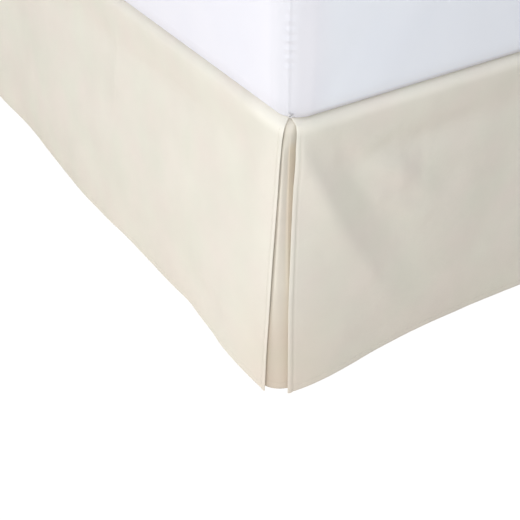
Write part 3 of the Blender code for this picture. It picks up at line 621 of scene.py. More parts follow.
# Painted light on the sheet: its foot side brighter and bluer, its long sides a little brighter.
PERCALE_FOOT_SIDE_LIGHT = (1.05, 1.085, 1.09)
PERCALE_LONG_SIDE_LIGHT = (1.03, 1.02, 1.02)
# Painted shade on the sheet round each foot corner.
PERCALE_CORNER_SHADE = (0.905, 0.905, 0.905)
# Painted shade on the sheet where it turns under the mattress on the foot side.
PERCALE_UNDER_SHADE = (0.74, 0.71, 0.68)
IVORY_THREAD_TONES = ((0.70, 0.65, 0.56), (0.82, 0.78, 0.70))
WHITE_THREAD_TONES = ((0.72, 0.71, 0.71), (0.80, 0.79, 0.79))
DECK_TONES = ((0.70, 0.67, 0.60), (0.77, 0.74, 0.67))
TICKING_TONES = ((0.66, 0.65, 0.61), (0.50, 0.50, 0.49))
ENAMEL_TONES = ((0.050, 0.036, 0.030), (0.105, 0.082, 0.068))
PLASTIC_TONES = ((0.020, 0.020, 0.021), (0.050, 0.049, 0.048))
SHEET_SHEEN = (0.70, 0.78, 1.0, 1.0)
TWILL_SHEEN = (1.0, 0.97, 0.92, 1.0)
# Pitches of the weaves, of the thread's twist and of the ticking's stripes.
TWILL_WALE = 1.3 * MM
TWILL_WARP = 0.55 * MM
PERCALE_YARN = 0.42 * MM
DECK_YARN = 0.7 * MM
TICKING_YARN = 0.8 * MM
TICKING_STRIPE = 14 * MM
THREAD_TWIST = 0.35 * MM
# Where each painted shade or highlight starts and where it is full: along the twill from a split, and down
# it.
WARM_SHADE_ALONG = (90 * MM, 10 * MM)
WARM_SHADE_DOWN = (200 * MM, 340 * MM)
TURN_HIGHLIGHT_DOWN = (19 * MM, 8 * MM)
TAN_SHADE_ALONG = (0.8 * MM, 4.4 * MM)
TAN_SHADE_BELOW = (20 * MM, 34 * MM)
TAN_SHADE_ABOVE = (380 * MM, 50 * MM)
LOW_SHADE_DOWN = (190 * MM, 300 * MM)
# The same on the sheet: across from the bed's middle, off a foot corner, and above the floor.
LONG_SIDE_ACROSS = (SIDE_X - 60 * MM, SIDE_X - 5 * MM)
FOOT_SIDE_ACROSS = (SIDE_X, SIDE_X - 40 * MM)
CORNER_AWAY = (34 * MM, 8 * MM)
UNDER_SHADE_HEIGHT = (SKIRT_TOP + 12 * MM, SKIRT_TOP + 2 * MM)


def paint_edge_shade_and_highlight(tree, parts, colour, highlight_reach):
    """Painted warm shade low down beside a split, and a painted highlight where the cloth turns over the
    bed's edge.
    """
    # Painted warm shade low beside a split.
    by_split = span_between(tree, "by the split", parts["X"], *WARM_SHADE_ALONG)
    by_hem = span_between(tree, "by the hem", parts["Y"], *WARM_SHADE_DOWN)
    warm_shade_share = arithmetic(tree, "low corner", "MULTIPLY", by_split, by_hem)
    colour = tint(tree, "painted warm shade by a split", colour, warm_shade_share, WARM_SHADE_TONE)
    # Painted highlight on the roll over the bed's edge, standing in for the light that its upward face
    # catches.
    highlight_share = span_between(tree, "near the turned edge", parts["Y"], *TURN_HIGHLIGHT_DOWN)
    is_near = span_between(tree, "near the corner", parts["X"], highlight_reach, highlight_reach / 2)
    highlight_share = arithmetic(tree, "highlight here", "MULTIPLY", highlight_share, is_near)
    return tint(tree, "painted highlight on the turn", colour, highlight_share, TURN_HIGHLIGHT_TONE)


def paint_underlay_shade(tree, parts, colour):
    """Painted shade on the underlay: a tan shade deep in the split, and darker towards the hem."""
    # Painted tan shade deep in the split.
    deep = span_between(tree, "deep in the split", parts["X"], *TAN_SHADE_ALONG)
    low = span_between(tree, "below the top", parts["Y"], *TAN_SHADE_BELOW)
    deep = arithmetic(tree, "deep and low", "MULTIPLY", deep, low)
    fading = span_between(tree, "less painted tan further down", parts["Y"], *TAN_SHADE_ABOVE)
    deep = arithmetic(tree, "deep and high", "MULTIPLY", deep, fading)
    colour = tint(tree, "painted tan shade", colour, deep, UNDERLAY_TAN_SHADE)
    # Painted shade, darker towards the hem.
    near_hem = span_between(tree, "towards the hem", parts["Y"], *LOW_SHADE_DOWN)
    return tint(tree, "painted shade towards the hem", colour, near_hem, UNDERLAY_LOW_SHADE)


def make_ivory_twill(name, tones, highlight_reach, with_underlay_shade=False):
    """Ivory twill: clouded and slubbed, with a painted highlight where it turns over the bed's edge, painted
    warm shade low by a split, and more painted shade on the underlay.
    """
    material, tree, shader = new_finish(
        name, 0.8, Sheen_Weight=0.10, Sheen_Roughness=0.5, Sheen_Tint=TWILL_SHEEN, Specular_IOR_Level=0.25
    )
    place = cloth_place(tree)
    parts = axes(tree, "along and down", place)
    wales = threads(tree, "twill wales", place, "DIAGONAL", TWILL_WALE, 0.6)
    warp = threads(tree, "warp yarns", place, "X", TWILL_WARP)
    yarn_place = stretch(tree, "yarns run down the cloth", place, (900, 60, 1))
    slub = noise(tree, "uneven yarns", yarn_place, 1.0, 2.0, 0.6)
    cloud = noise(tree, "shade of the cloth", place, 9.0, 3.0, 0.55)
    crumple = noise(tree, "handling creases", place, 42.0, 3.0, 0.6)
    hue = noise(tree, "hue of the cloth", place, 13.0, 1.0, 0.5)
    clouded = arithmetic(tree, "shade share", "MULTIPLY", cloud, 0.88)
    shade = arithmetic(tree, "yarns and shade", "MULTIPLY_ADD", slub, 0.12, clouded)
    colour = blend_colours(tree, "ivory tones", shade, *tones)
    hues = blend_colours(tree, "hues", hue, GREENISH, PINKISH)
    colour = mix_colours(tree, "clouded hue", 1.0, colour, hues, "MULTIPLY")
    colour = paint_edge_shade_and_highlight(tree, parts, colour, highlight_reach)
    if with_underlay_shade:
        colour = paint_underlay_shade(tree, parts, colour)
    weave = arithmetic(tree, "weave", "MULTIPLY", wales, warp)
    creased = ((cloud, 0.10, 2.0 * MM), (crumple, 0.35, 1.2 * MM))
    bumps = (*creased, (slub, 0.10, 0.10 * MM), (weave, 0.35, 0.12 * MM))
    dress_shader(tree, shader, colour, bumps, span(tree, "dull and smooth yarns", slub, 0.70, 0.88))
    return material


def make_thread(name, roughness, sheen, tones):
    """Twisted sewing thread."""
    material, tree, shader = new_finish(name, roughness, Sheen_Weight=sheen)
    twist = threads(tree, "twist of the thread", object_place(tree), "DIAGONAL", THREAD_TWIST)
    dress_shader(tree, shader, blend_colours(tree, "thread tones", twist, *tones), ((twist, 0.4, 0.06 * MM),))
    return material


def plain_weave(tree, place, pitch):
    """Yarns over and under on any face that is square to an axis."""
    across = threads(tree, "yarns across", place, "X", pitch)
    along = threads(tree, "yarns along", place, "Y", pitch)
    upright = threads(tree, "yarns upright", place, "Z", pitch)
    level = arithmetic(tree, "level yarns", "ADD", across, along)
    return arithmetic(tree, "plain weave", "ADD", level, upright)


def paint_sheet_light_and_shade(tree, place, colour):
    """The sheet's white with painted light: brighter and bluer on its foot side, a little brighter on its
    long sides, and painted shade round a foot corner and along the bottom of its foot side.
    """
    parts = axes(tree, "place on the sheet", place)
    across = arithmetic(tree, "from middle", "ABSOLUTE", parts["X"])
    on_side = span_between(tree, "on a long side", across, *LONG_SIDE_ACROSS)
    level = add_node(tree, "ShaderNodeCombineXYZ", "level place", {"X": across, "Y": parts["Y"]}).outputs[0]
    corner = {0: level, 1: (SIDE_X, FOOT_Y, 0.0)}
    away = add_node(tree, "ShaderNodeVectorMath", "from a corner", corner, operation="DISTANCE")
    at_corner = span_between(tree, "at a corner", away.outputs["Value"], *CORNER_AWAY)
    # Painted light: the foot side brighter and bluer, the long sides a little brighter.
    shade = mix_colours(tree, "painted side light", on_side, PERCALE_FOOT_SIDE_LIGHT, PERCALE_LONG_SIDE_LIGHT)
    # Painted shade round each foot corner.
    shade = mix_colours(tree, "painted corner shade", at_corner, shade, PERCALE_CORNER_SHADE)
    # Painted shade along the sheet's bottom edge on the foot side.
    under = span_between(tree, "turned under", parts["Z"], *UNDER_SHADE_HEIGHT)
    foot_share = span_between(tree, "on the foot side", across, *FOOT_SIDE_ACROSS)
    under = arithmetic(tree, "turned under at the foot", "MULTIPLY", under, foot_share)
    shade = tint(tree, "turned edge", shade, under, PERCALE_UNDER_SHADE)
    return mix_colours(tree, "shaded white", 1.0, colour, shade, "MULTIPLY")


def make_white_percale():
    """The fitted sheet: pressed white percale."""
    material, tree, shader = new_finish(
        "white_percale", 0.75, Sheen_Weight=0.25, Sheen_Roughness=0.5, Sheen_Tint=SHEET_SHEEN,
        Specular_IOR_Level=0.25,
    )
    place = object_place(tree)
    cloud = noise(tree, "shade of the sheet", place, 7.0, 3.0, 0.5)
    crumple = noise(tree, "pressed creases", place, 26.0, 4.0, 0.6)
    colour = paint_sheet_light_and_shade(tree, place, blend_colours(tree, "white tones", cloud, *PERCALE_TONES))
    bumps = ((crumple, 0.12, 1.5 * MM), (plain_weave(tree, place, PERCALE_YARN), 0.2, 0.05 * MM))
    dress_shader(tree, shader, colour, bumps, span(tree, "smooth and dull", crumple, 0.62, 0.82))
    return material


def make_deck_cotton():
    """Unbleached plain cotton."""
    material, tree, shader = new_finish("deck_cotton", 0.9, Sheen_Weight=0.12)
    place = object_place(tree)
    cloud = noise(tree, "shade of the deck", place, 12.0, 3.0, 0.5)
    colour = blend_colours(tree, "unbleached tones", cloud, *DECK_TONES)
    bumps = ((plain_weave(tree, place, DECK_YARN), 0.3, 0.1 * MM),)
    dress_shader(tree, shader, colour, bumps, span(tree, "dull and smooth", cloud, 0.82, 0.95))
    return material


def make_ticking():
    """Plain-woven ticking with narrow stripes that stand upright on every side."""
    material, tree, shader = new_finish("striped_ticking", 0.85, Sheen_Weight=0.15)
    place = object_place(tree)
    level = stretch(tree, "stripes stand upright", place, (1, 1, 0))
    stripes = threads(tree, "stripes", level, "DIAGONAL", TICKING_STRIPE)
    edges = span(tree, "crisp stripes", stripes, -3.0, 3.6)
    cloud = noise(tree, "shade of the ticking", place, 30.0, 3.0, 0.6)
    clouded = arithmetic(tree, "shade share", "MULTIPLY", cloud, 0.3)
    share = arithmetic(tree, "stripes and shade", "MULTIPLY_ADD", edges, 0.7, clouded)
    colour = blend_colours(tree, "ticking tones", share, *TICKING_TONES)
    bumps = ((cloud, 0.2, 1.0 * MM), (plain_weave(tree, place, TICKING_YARN), 0.35, 0.1 * MM))
    dress_shader(tree, shader, colour, bumps, span(tree, "dull and smooth", cloud, 0.78, 0.92))
    return material


def make_brown_enamel():
    """Stoved enamel with orange peel, a little dull where it is scuffed."""
    material, tree, shader = new_finish("brown_enamel", 0.4, Coat_Weight=0.25, Coat_Roughness=0.3)
    place = object_place(tree)
    peel = noise(tree, "orange peel", place, 420.0, 2.0, 0.5)
    cloud = noise(tree, "uneven enamel", place, 22.0, 4.0, 0.6)
    scuffs = noise(tree, "scuffs", stretch(tree, "scuffs run along", place, (60, 60, 420)), 1.0, 3.0, 0.7)
    worn = span(tree, "worn places", scuffs, -1.6, 1.5)
    clouded = arithmetic(tree, "shade", "MULTIPLY", cloud, 0.6)
    share = arithmetic(tree, "enamel and wear", "ADD", clouded, worn)
    colour = blend_colours(tree, "enamel tones", share, *ENAMEL_TONES)
    bumps = ((cloud, 0.08, 0.8 * MM), (peel, 0.2, 0.12 * MM))
    dress_shader(tree, shader, colour, bumps, span(tree, "dull wear", share, 0.34, 0.6))
    return material


def make_black_plastic():
    """Moulded plastic of the glides, rubbed smooth in places."""
    material, tree, shader = new_finish("black_plastic", 0.5)
    place = object_place(tree)
    grain = noise(tree, "moulded grain", place, 900.0, 2.0, 0.6)
    rub = noise(tree, "rubbed places", place, 60.0, 3.0, 0.6)
    colour = blend_colours(tree, "plastic tones", rub, *PLASTIC_TONES)
    rubbed = span(tree, "rubbed smooth", rub, 0.42, 0.62)
    dress_shader(tree, shader, colour, ((grain, 0.35, 0.15 * MM),), rubbed)
    return material


# --- How the cloth hangs ---------------------------------------------------------------------------
def smooth_through(xs, ys, x):
    """A smooth curve through points, held level past its ends."""
    xs = np.array(xs)
    ys = np.array(ys)
    x = np.clip(x, xs[0], xs[-1])
    k = np.clip(np.searchsorted(xs, x, side="right") - 1, 0, len(xs) - 2)
    before = np.maximum(k - 1, 0)
    after = np.minimum(k + 2, len(xs) - 1)
    step = xs[k + 1] - xs[k]
    slope_start = (ys[k + 1] - ys[before]) / (xs[k + 1] - xs[before]) * step
    slope_end = (ys[after] - ys[k]) / (xs[after] - xs[k]) * step
    t = (x - xs[k]) / step
    level = (1 + 2 * t) * (1 - t) ** 2 * ys[k] + t * t * (3 - 2 * t) * ys[k + 1]
    return level + t * (1 - t) ** 2 * slope_start - t * t * (1 - t) * slope_end


def read_table(rows, column, x):
    """A column of a table, read smoothly at places given in the table's first column."""
    return smooth_through([row[0] for row in rows], [getattr(row, column) for row in rows], x)


def fade(distance, length, power):
    """1 at an edge, falling to 0 a length away from it."""
    return np.maximum(0.0, 1.0 - distance / length) ** power


def ease(x):
    """0 up to 0 and 1 from 1 on, with a smooth way between."""
    x = np.clip(x, 0.0, 1.0)
    return x * x * (3 - 2 * x)


def near(distance, spread):
    """1 on a line, falling softly to nothing on both sides of it."""
    return np.exp(-((distance / spread) ** 2))


def roll(down, roll_out):
    """How far out the cloth stands as it turns over the bed's top edge."""
    turned = roll_out - (roll_out + ROLL_IN) * np.exp(-np.maximum(down, 0.0) / ROLL_SIZE)
    return np.where(down < 0, down - ROLL_IN, turned)


def hang(down):
    """The share of the hem's reach at a depth: upright at first, then leaning out to the hem."""
    below = np.clip((down - HANG_START) / (DROP - HANG_START), 0.0, 1.0)
    return np.sin(math.pi / 2 * below) ** HANG_POWER


def ridge_height(folds, along, level):
    """Height of straight folds at a place along the cloth and a level on it."""
    height = 0.0
    for fold in folds:
        run = fold.along_to - fold.along_from
        fall = fold.level_to - fold.level_from
        t = ((along - fold.along_from) * run + (level - fold.level_from) * fall) / (run * run + fall * fall)
        t = np.clip(t, 0.0, 1.0)
        away = np.hypot(along - fold.along_from - t * run, level - fold.level_from - t * fall)
        height = height + fold.height * near(away, fold.width)
    return height


def fold_height(folds, along, down):
    return ridge_height(folds, along, down) * ease(down / FOLD_FREE_DEPTH)


def shaped_height(folds, at, place):
    """Height of folds whose place, width and height go by how far along them a point is."""
    height = 0.0
    for rows in folds:
        away = place - read_table(rows, "place", at)
        height = height + read_table(rows, "height", at) * near(away, read_table(rows, "width", at))
    return height


def plain_out(drop, along, down):
    """How far out a drop's outer face stands, away from the splits."""
    at_hem = read_table(drop.reach, "out", along)
    hung = roll(down, ROLL_OUT) + drop.shoulder * (1 - np.exp(-np.maximum(down, 0.0) / SHOULDER_SIZE))
    from_split = along if len(drop.splits) == 1 else np.minimum(along, drop.length - along)
    curved = ease(from_split / STRAIGHT_LEAN)
    straight = np.clip(down / DROP, 0.0, 1.0)
    lean = straight + (hang(down) - straight) * curved
    hung = hung + (at_hem - ROLL_OUT - drop.shoulder) * lean
    shaped = shaped_height(drop.sweeps, down, along) + shaped_height(drop.bands, along, down)
    return hung + fold_height(drop.folds, along, down) + shaped * ease(down / FOLD_FREE_DEPTH)


def split_edge(down, is_foot):
    """Out and past the corner, of a drop's free edge at a split."""
    drop = "foot" if is_foot else "side"
    top_out = getattr(SPLIT_EDGES[0], f"{drop}_out")
    lip_out = top_out + (ROLL_IN + LIP_WIDTH + top_out) * down / LIP_WIDTH
    out = np.where(down < 0, lip_out, read_table(SPLIT_EDGES, f"{drop}_out", down))
    past = np.where(down < 0, lip_out - MITRE_GAP, read_table(SPLIT_EDGES, f"{drop}_past", down))
    return out, past


def waves(rows, along, down):
    """Sines of several lengths together, between -1 and 1."""
    height = 0.0
    for wave in rows:
        turn = 2 * math.pi * (along + wave.lean * down) / wave.length
        height = height + wave.share * np.sin(turn + wave.start)
    return height


def hem_relief(drop, along, down):
    """The stitch lines draw the cloth in, and it puckers beside them."""
    from_bottom = down - HEM_SEAM
    relief = -STITCH_DIP * near(from_bottom, STITCH_SPREAD)
    relief = relief + PUCKER_HEIGHT * near(from_bottom, PUCKER_REACH) * waves(PUCKERS, along, down)
    for end, inward in drop.splits:
        from_side = (along - end) * inward - SIDE_SEAM
        puckers = PUCKER_HEIGHT * near(from_side, PUCKER_REACH) * waves(PUCKERS, down + 3 * end, along)
        puckers = puckers + EDGE_BULGE * near((along - end) * inward - EDGE_BULGE_IN, EDGE_BULGE_SPREAD)
        stitched = puckers - STITCH_DIP * near(from_side, STITCH_SPREAD)
        relief = relief + stitched * ease(down / SIDE_STITCH_EASE)
    return relief


def drop_place(drop, along, down):
    """Along, out and depth of a drop's outer face, for a place on its cloth."""
    out = plain_out(drop, along, down)
    place = along
    for end, inward in drop.splits:
        edge_out, edge_past = split_edge(down, drop.is_foot)
        from_end = (along - end) * inward
        fade_length = SPLIT_FADE_TOP + (SPLIT_FADE - SPLIT_FADE_TOP) * ease(down / SPLIT_FADE_DEPTH)
        pull = edge_out - plain_out(drop, end, down)
        out = out + pull * fade(from_end, fade_length, SPLIT_FADE_POWER)
        place = place - inward * edge_past * fade(from_end, SHEAR_FADE, 2)
    free = ease(down / FOLD_FREE_DEPTH)
    out = out + fold_height(drop.creases, along, down) + SLACK_HEIGHT * free * waves(SLACK, along, down)
    return place, out + hem_relief(drop, along, down) * (down > 0), np.maximum(down, 0.0)


def drop_points(drop, along, down):
    """Points in space on a drop's outer face, for grids of places on its cloth."""
    place, out, depth = drop_place(drop, along, down)
    place, out, depth = np.broadcast_arrays(place, out, depth)
    corner = np.array((*drop.corner, SKIRT_TOP))
    ways = np.array((drop.along_axis, drop.out_axis, (0, 0, -1)), float)
    return corner + np.stack((place, out, depth), -1) @ ways


def underlay_points(mirror, corner, turn, far, down):
    """Points on a corner underlay's outer face: turn goes round the corner, far along its wings."""
    out_share = ease(far / UNDERLAY_WING_TURN)
    roll_out = UNDERLAY_ROLL_OUT + (UNDERLAY_WING_ROLL_OUT - UNDERLAY_ROLL_OUT) * out_share
    reach = UNDERLAY_REACH + (UNDERLAY_WING_REACH - UNDERLAY_REACH) * out_share
    lean = np.maximum(down - UNDERLAY_LEAN_START, 0.0) / (DROP - UNDERLAY_LEAN_START)
    out = roll(down, roll_out) + (reach - roll_out) * (lean + (hang(down) - lean) * out_share)
    steep = (roll_out + ROLL_IN) / ROLL_SIZE * np.exp(-down / ROLL_SIZE)
    length = np.hypot(steep, 1.0)
    out = out - UNDERLAY_BEHIND * np.exp(-down / ROLL_SIZE) / length
    depth = down + UNDERLAY_BEHIND * steep / length
    out = out + underlay_relief(turn, far, down)
    settle = np.exp(-down / UNDERLAY_CORNER_SETTLE)
    radius = UNDERLAY_CORNER_LEAST + (UNDERLAY_CORNER_TOP - UNDERLAY_CORNER_LEAST) * settle
    radius = radius + (UNDERLAY_CORNER_HEM - UNDERLAY_CORNER_LEAST) * (down / DROP) ** UNDERLAY_CORNER_POWER
    centre = radius - out
    angle = math.radians(225) + math.radians(45) * turn
    x = centre + radius * np.cos(angle) + np.where(turn > 0, far, 0.0)
    y = centre + radius * np.sin(angle) + np.where(turn < 0, far, 0.0)
    x, y, depth = np.broadcast_arrays(x, y, depth)
    return np.stack((corner[0] + mirror * x, corner[1] + y, SKIRT_TOP - depth), -1)


def underlay_relief(turn, far, down):
    """The underlay's soft bends round the corner, and the stitch line along its hem."""
    height = 0.0
    for bend in UNDERLAY_BENDS:
        height = height + bend.height * near(turn - bend.turn, bend.width)
    height = height * (1.0 + BEND_SWELL * np.sin(math.pi * np.clip(down / DROP, 0.0, 1.0)))
    stitched = -STITCH_DIP * near(down - UNDERLAY_SEAM, STITCH_SPREAD)
    return height * ease((down - BEND_START) / BEND_EASE) * near(far, BEND_WING_REACH) + stitched


# --- Cloth as thin closed shells ---------------------------------------------------------------------
def lengthen(vectors):
    """Vectors brought to length 1."""
    return vectors / np.maximum(np.linalg.norm(vectors, axis=-1, keepdims=True), 1e-12)


def edge_ring(rows, columns):
    """Numbers of a grid's edge points, once round."""
    grid = np.arange(rows * columns).reshape(rows, columns)
    return np.concatenate((grid[0, :-1], grid[:-1, -1], grid[-1, :0:-1], grid[:0:-1, 0]))


def edge_ways(points):
    """The direction off the cloth at each point of its edge ring, in the cloth's own face."""
    ways = np.zeros_like(points)
    ways[0] += lengthen(points[0] - points[1])
    ways[-1] += lengthen(points[-1] - points[-2])
    ways[:, 0] += lengthen(points[:, 0] - points[:, 1])
    ways[:, -1] += lengthen(points[:, -1] - points[:, -2])
    return lengthen(ways)


def make_mesh(name, points, faces, material, places=None):
    """A smooth mesh with outward faces, and cloth coordinates from each point's place."""
    mesh = bpy.data.meshes.new(name)
    mesh.from_pydata(points.tolist(), [], faces.tolist())
    bm = bmesh.new()
    bm.from_mesh(mesh)
    bmesh.ops.recalc_face_normals(bm, faces=bm.faces)
    bm.to_mesh(mesh)
    bm.free()
    mesh.shade_smooth()
    if places is not None:
        layer = mesh.uv_layers.new(name="cloth")
        corners = np.zeros(len(mesh.loops), np.int32)
        mesh.loops.foreach_get("vertex_index", corners)
        layer.data.foreach_set("uv", places[corners].astype(np.float32).ravel())
    mesh.materials.append(material)
    return put_in_scene(name, mesh)


def make_cloth(name, points, thickness, places, outward, material):
    """A closed shell of cloth with rounded rims, from a grid of points on its outer face."""
    rows, columns = points.shape[:2]
    down_step = np.gradient(points, axis=0)
    along_step = np.gradient(points, axis=1)
    normals = lengthen(np.cross(down_step, along_step))
    if (normals.mean(axis=(0, 1)) * np.array(outward)).sum() < 0:
        normals = -normals
    inner = points - normals * thickness[..., None]
    ring = edge_ring(rows, columns)
    middle = ((points + inner) / 2).reshape(-1, 3)[ring]
    half = thickness.reshape(-1, 1)[ring] / 2
    off = edge_ways(points).reshape(-1, 3)[ring]
    face_way = normals.reshape(-1, 3)[ring]
    rings = []
    for k in range(1, RIM_STEPS + 1):
        angle = math.pi * k / (RIM_STEPS + 1)
        rings.append(middle + half * (math.cos(angle) * face_way + math.sin(angle) * off))
    count = rows * columns
    all_points = np.concatenate([points.reshape(-1, 3), inner.reshape(-1, 3)] + rings)
    flat = places.reshape(-1, 2)
    all_places = np.concatenate([flat, flat] + [flat[ring]] * RIM_STEPS)
    grid = np.arange(count).reshape(rows, columns)
    quads = np.stack((grid[:-1, :-1], grid[1:, :-1], grid[1:, 1:], grid[:-1, 1:]), -1).reshape(-1, 4)
    loops = [ring] + [2 * count + k * len(ring) + np.arange(len(ring)) for k in range(RIM_STEPS)]
    loops.append(ring + count)
    rim = [
        np.stack((one, np.roll(one, -1), np.roll(two, -1), two), -1)
        for one, two in zip(loops[:-1], loops[1:])
    ]
    faces = np.concatenate([quads, quads[:, ::-1] + count] + rim)
    return make_mesh(name, all_points, faces, material, all_places)


def stations(*spans):
    """Places from spans of (start, end, step), each span ruled evenly."""
    places = []
    for start, end, step in spans:
        steps = max(1, round((end - start) / step))
        places.extend(start + (end - start) * k / steps for k in range(steps))
    return np.array(places + [spans[-1][1]])


def drop_rows():
    """Rows of a drop: its lip, the turn over the edge, the plain cloth and the hem."""
    hem_top = DROP - HEM_ROWS
    plain = (UPPER_ROWS[1], hem_top, PLAIN_ROW)
    return stations(LIP_ROWS, *TURN_ROWS, UPPER_ROWS, plain, (hem_top, DROP, HEM_ROW))


def drop_columns(drop):
    """Close columns by the left foot corner, where the creases are fine, and at every hem."""
    creased_end = CREASED_COLUMNS[1]
    last = drop.length - EDGE_COLUMNS
    if drop.is_foot:
        far = drop.length - FAR_SPLIT_COLUMNS
        rest = ((creased_end, far, PLAIN_COLUMN), (far, last, FAR_SPLIT_COLUMN))
    else:
        rest = ((creased_end, last, PLAIN_COLUMN),)
    last_step = SPLIT_COLUMN if drop.is_foot else HEAD_HEM_COLUMN
    first = (0.0, EDGE_COLUMNS, SPLIT_COLUMN)
    return stations(first, CREASED_COLUMNS, *rest, (last, drop.length, last_step))


def hem_share(distance, width):
    """1 inside a hem and 0 beyond its turned edge."""
    return ease((width - distance) / HEM_EASE + 0.5)


def drop_thickness(drop, along, down):
    """Single cloth, thicker in its hems and thin again at a split's very edge."""
    hem = hem_share(DROP - down, HEM_WIDTH)
    for end, inward in drop.splits:
        deep = ease((down - SIDE_HEM_FROM) / SIDE_HEM_FADE)
        hem = np.maximum(hem, hem_share((along - end) * inward, SIDE_HEM_WIDTH) * deep)
    if not drop.is_foot:
        hem = np.maximum(hem, hem_share(drop.length - along, HEM_WIDTH) * ease(down / HEAD_HEM_FADE))
    edge = np.minimum.reduce([(along - end) * inward for end, inward in drop.splits])
    share = EDGE_HEM_SHARE + (1.0 - EDGE_HEM_SHARE) * ease(edge / EDGE_HEM_EASE)
    return TWILL + (TWILL_HEM - TWILL) * hem * share


def make_drop(drop, material):
    """One drop: a lip on the box spring, the roll over the edge, and the hanging cloth."""
    down, along = np.meshgrid(drop_rows(), drop_columns(drop), indexing="ij")
    points = drop_points(drop, along, down)
    thickness = drop_thickness(drop, along, down)
    places = np.stack((along, down), -1)
    return make_cloth(f"{drop.name}_twill", points, thickness, places, drop.out_axis, material)


def underlay_columns():
    """Turn round the corner and distance along the wings, from one wing's end to the other's."""
    turn = stations((-1.0, 1.0, UNDERLAY_TURN_STEP))
    far = stations((0.0, UNDERLAY_WING, UNDERLAY_WING_STEP))[1:]
    turns = np.concatenate((-np.ones(len(far)), turn, np.ones(len(far))))
    return turns, np.concatenate((far[::-1], np.zeros(len(turn)), far))


def make_underlay(name, mirror, corner, material):
    """The panel behind a split, curved round the corner under the ends of both drops."""
    bottom = DROP - UNDERLAY_HEM_RAISE
    hem_top = bottom - HEM_ROWS
    plain = (TURN_ROWS[-1][1], hem_top, PLAIN_ROW)
    downs = stations(*TURN_ROWS, plain, (hem_top, bottom, HEM_ROW))
    turns, fars = underlay_columns()
    down, turn = np.meshgrid(downs, turns, indexing="ij")
    far = np.broadcast_to(fars, down.shape)
    points = underlay_points(mirror, corner, turn, far, down)
    thickness = TWILL + (TWILL_HEM - TWILL) * hem_share(bottom - down, HEM_WIDTH)
    along = turn * UNDERLAY_CORNER_LEAST * math.pi / 4 + np.sign(turn) * far
    places = np.stack((along, down), -1)
    return make_cloth(name, points, thickness, places, (-mirror, -1, 0), material)


# --- Stitches and piping, made by Geometry Nodes --------------------------------------------------
def new_tree(name, inputs):
    """A geometry tree with named number inputs, its input node and its output node."""
    tree = bpy.data.node_groups.new(name, "GeometryNodeTree")
    tree.interface.new_socket("Geometry", in_out="INPUT", socket_type="NodeSocketGeometry")
    tree.interface.new_socket("Geometry", in_out="OUTPUT", socket_type="NodeSocketGeometry")
    for label, value in inputs.items():
        socket = tree.interface.new_socket(label, in_out="INPUT", socket_type="NodeSocketFloat")
        socket.default_value = value
    entry = tree.nodes.new("NodeGroupInput")
    out = tree.nodes.new("NodeGroupOutput")
    return tree, entry.outputs, out.inputs


def finish_tree(tree, geometry, out, material):
    real = add_node(tree, "GeometryNodeRealizeInstances", "real mesh", {"Geometry": geometry})
    smooth = add_node(tree, "GeometryNodeSetShadeSmooth", "smooth", {"Geometry": real.outputs[0]})
    painted = {"Geometry": smooth.outputs[0], "Material": material}
    finish = add_node(tree, "GeometryNodeSetMaterial", "finish", painted)
    tree.links.new(finish.outputs["Geometry"], out["Geometry"])


def make_stitch_tree(material):
    """Stitches: small long beads at a pitch along every line, each a little out of true."""
    sizes = {"Pitch": 3.0 * MM, "Length": 2.2 * MM, "Width": 0.55 * MM, "Waver": 0.06}
    tree, size, out = new_tree(f"stitches_{material.name}", sizes)
    path = add_node(tree, "GeometryNodeMeshToCurve", "seam line", {"Mesh": size["Geometry"]})
    spread = add_node(
        tree, "GeometryNodeCurveToPoints", "stitch places",
        {"Curve": path.outputs["Curve"], "Length": size["Pitch"]}, mode="LENGTH",
    )
    bead = add_node(tree, "GeometryNodeMeshIcoSphere", "stitch", {"Radius": 0.5, "Subdivisions": 1})
    least = arithmetic(tree, "least turn", "MULTIPLY", size["Waver"], -1.0)
    turns = {"Min": least, "Max": size["Waver"], "Seed": 7}
    waver = add_node(tree, "FunctionNodeRandomValue", "waver", turns, data_type="FLOAT_VECTOR")
    turned = add_node(
        tree, "FunctionNodeRotateRotation", "turned a little",
        {"Rotation": spread.outputs["Rotation"], "Rotate By": waver.outputs["Value"]},
    )
    shape = add_node(
        tree, "ShaderNodeCombineXYZ", "stitch size",
        {"X": size["Width"], "Y": size["Width"], "Z": size["Length"]},
    )
    row = add_node(
        tree, "GeometryNodeInstanceOnPoints", "row of stitches",
        {
            "Points": spread.outputs["Points"], "Instance": bead.outputs["Mesh"],
            "Rotation": turned.outputs["Rotation"], "Scale": shape.outputs["Vector"],
        },
    )
    finish_tree(tree, row.outputs["Instances"], out, material)
    return tree


def make_piping_tree(material):
    """A round cord along every line."""
    tree, size, out = new_tree("piping", {"Radius": 2.5 * MM})
    path = add_node(tree, "GeometryNodeMeshToCurve", "piping line", {"Mesh": size["Geometry"]})
    ring_sizes = {"Resolution": 10, "Radius": size["Radius"]}
    ring = add_node(tree, "GeometryNodeCurvePrimitiveCircle", "cord", ring_sizes)
    cord = add_node(
        tree, "GeometryNodeCurveToMesh", "piping",
        {"Curve": path.outputs["Curve"], "Profile Curve": ring.outputs["Curve"]},
    )
    finish_tree(tree, cord.outputs["Mesh"], out, material)
    return tree


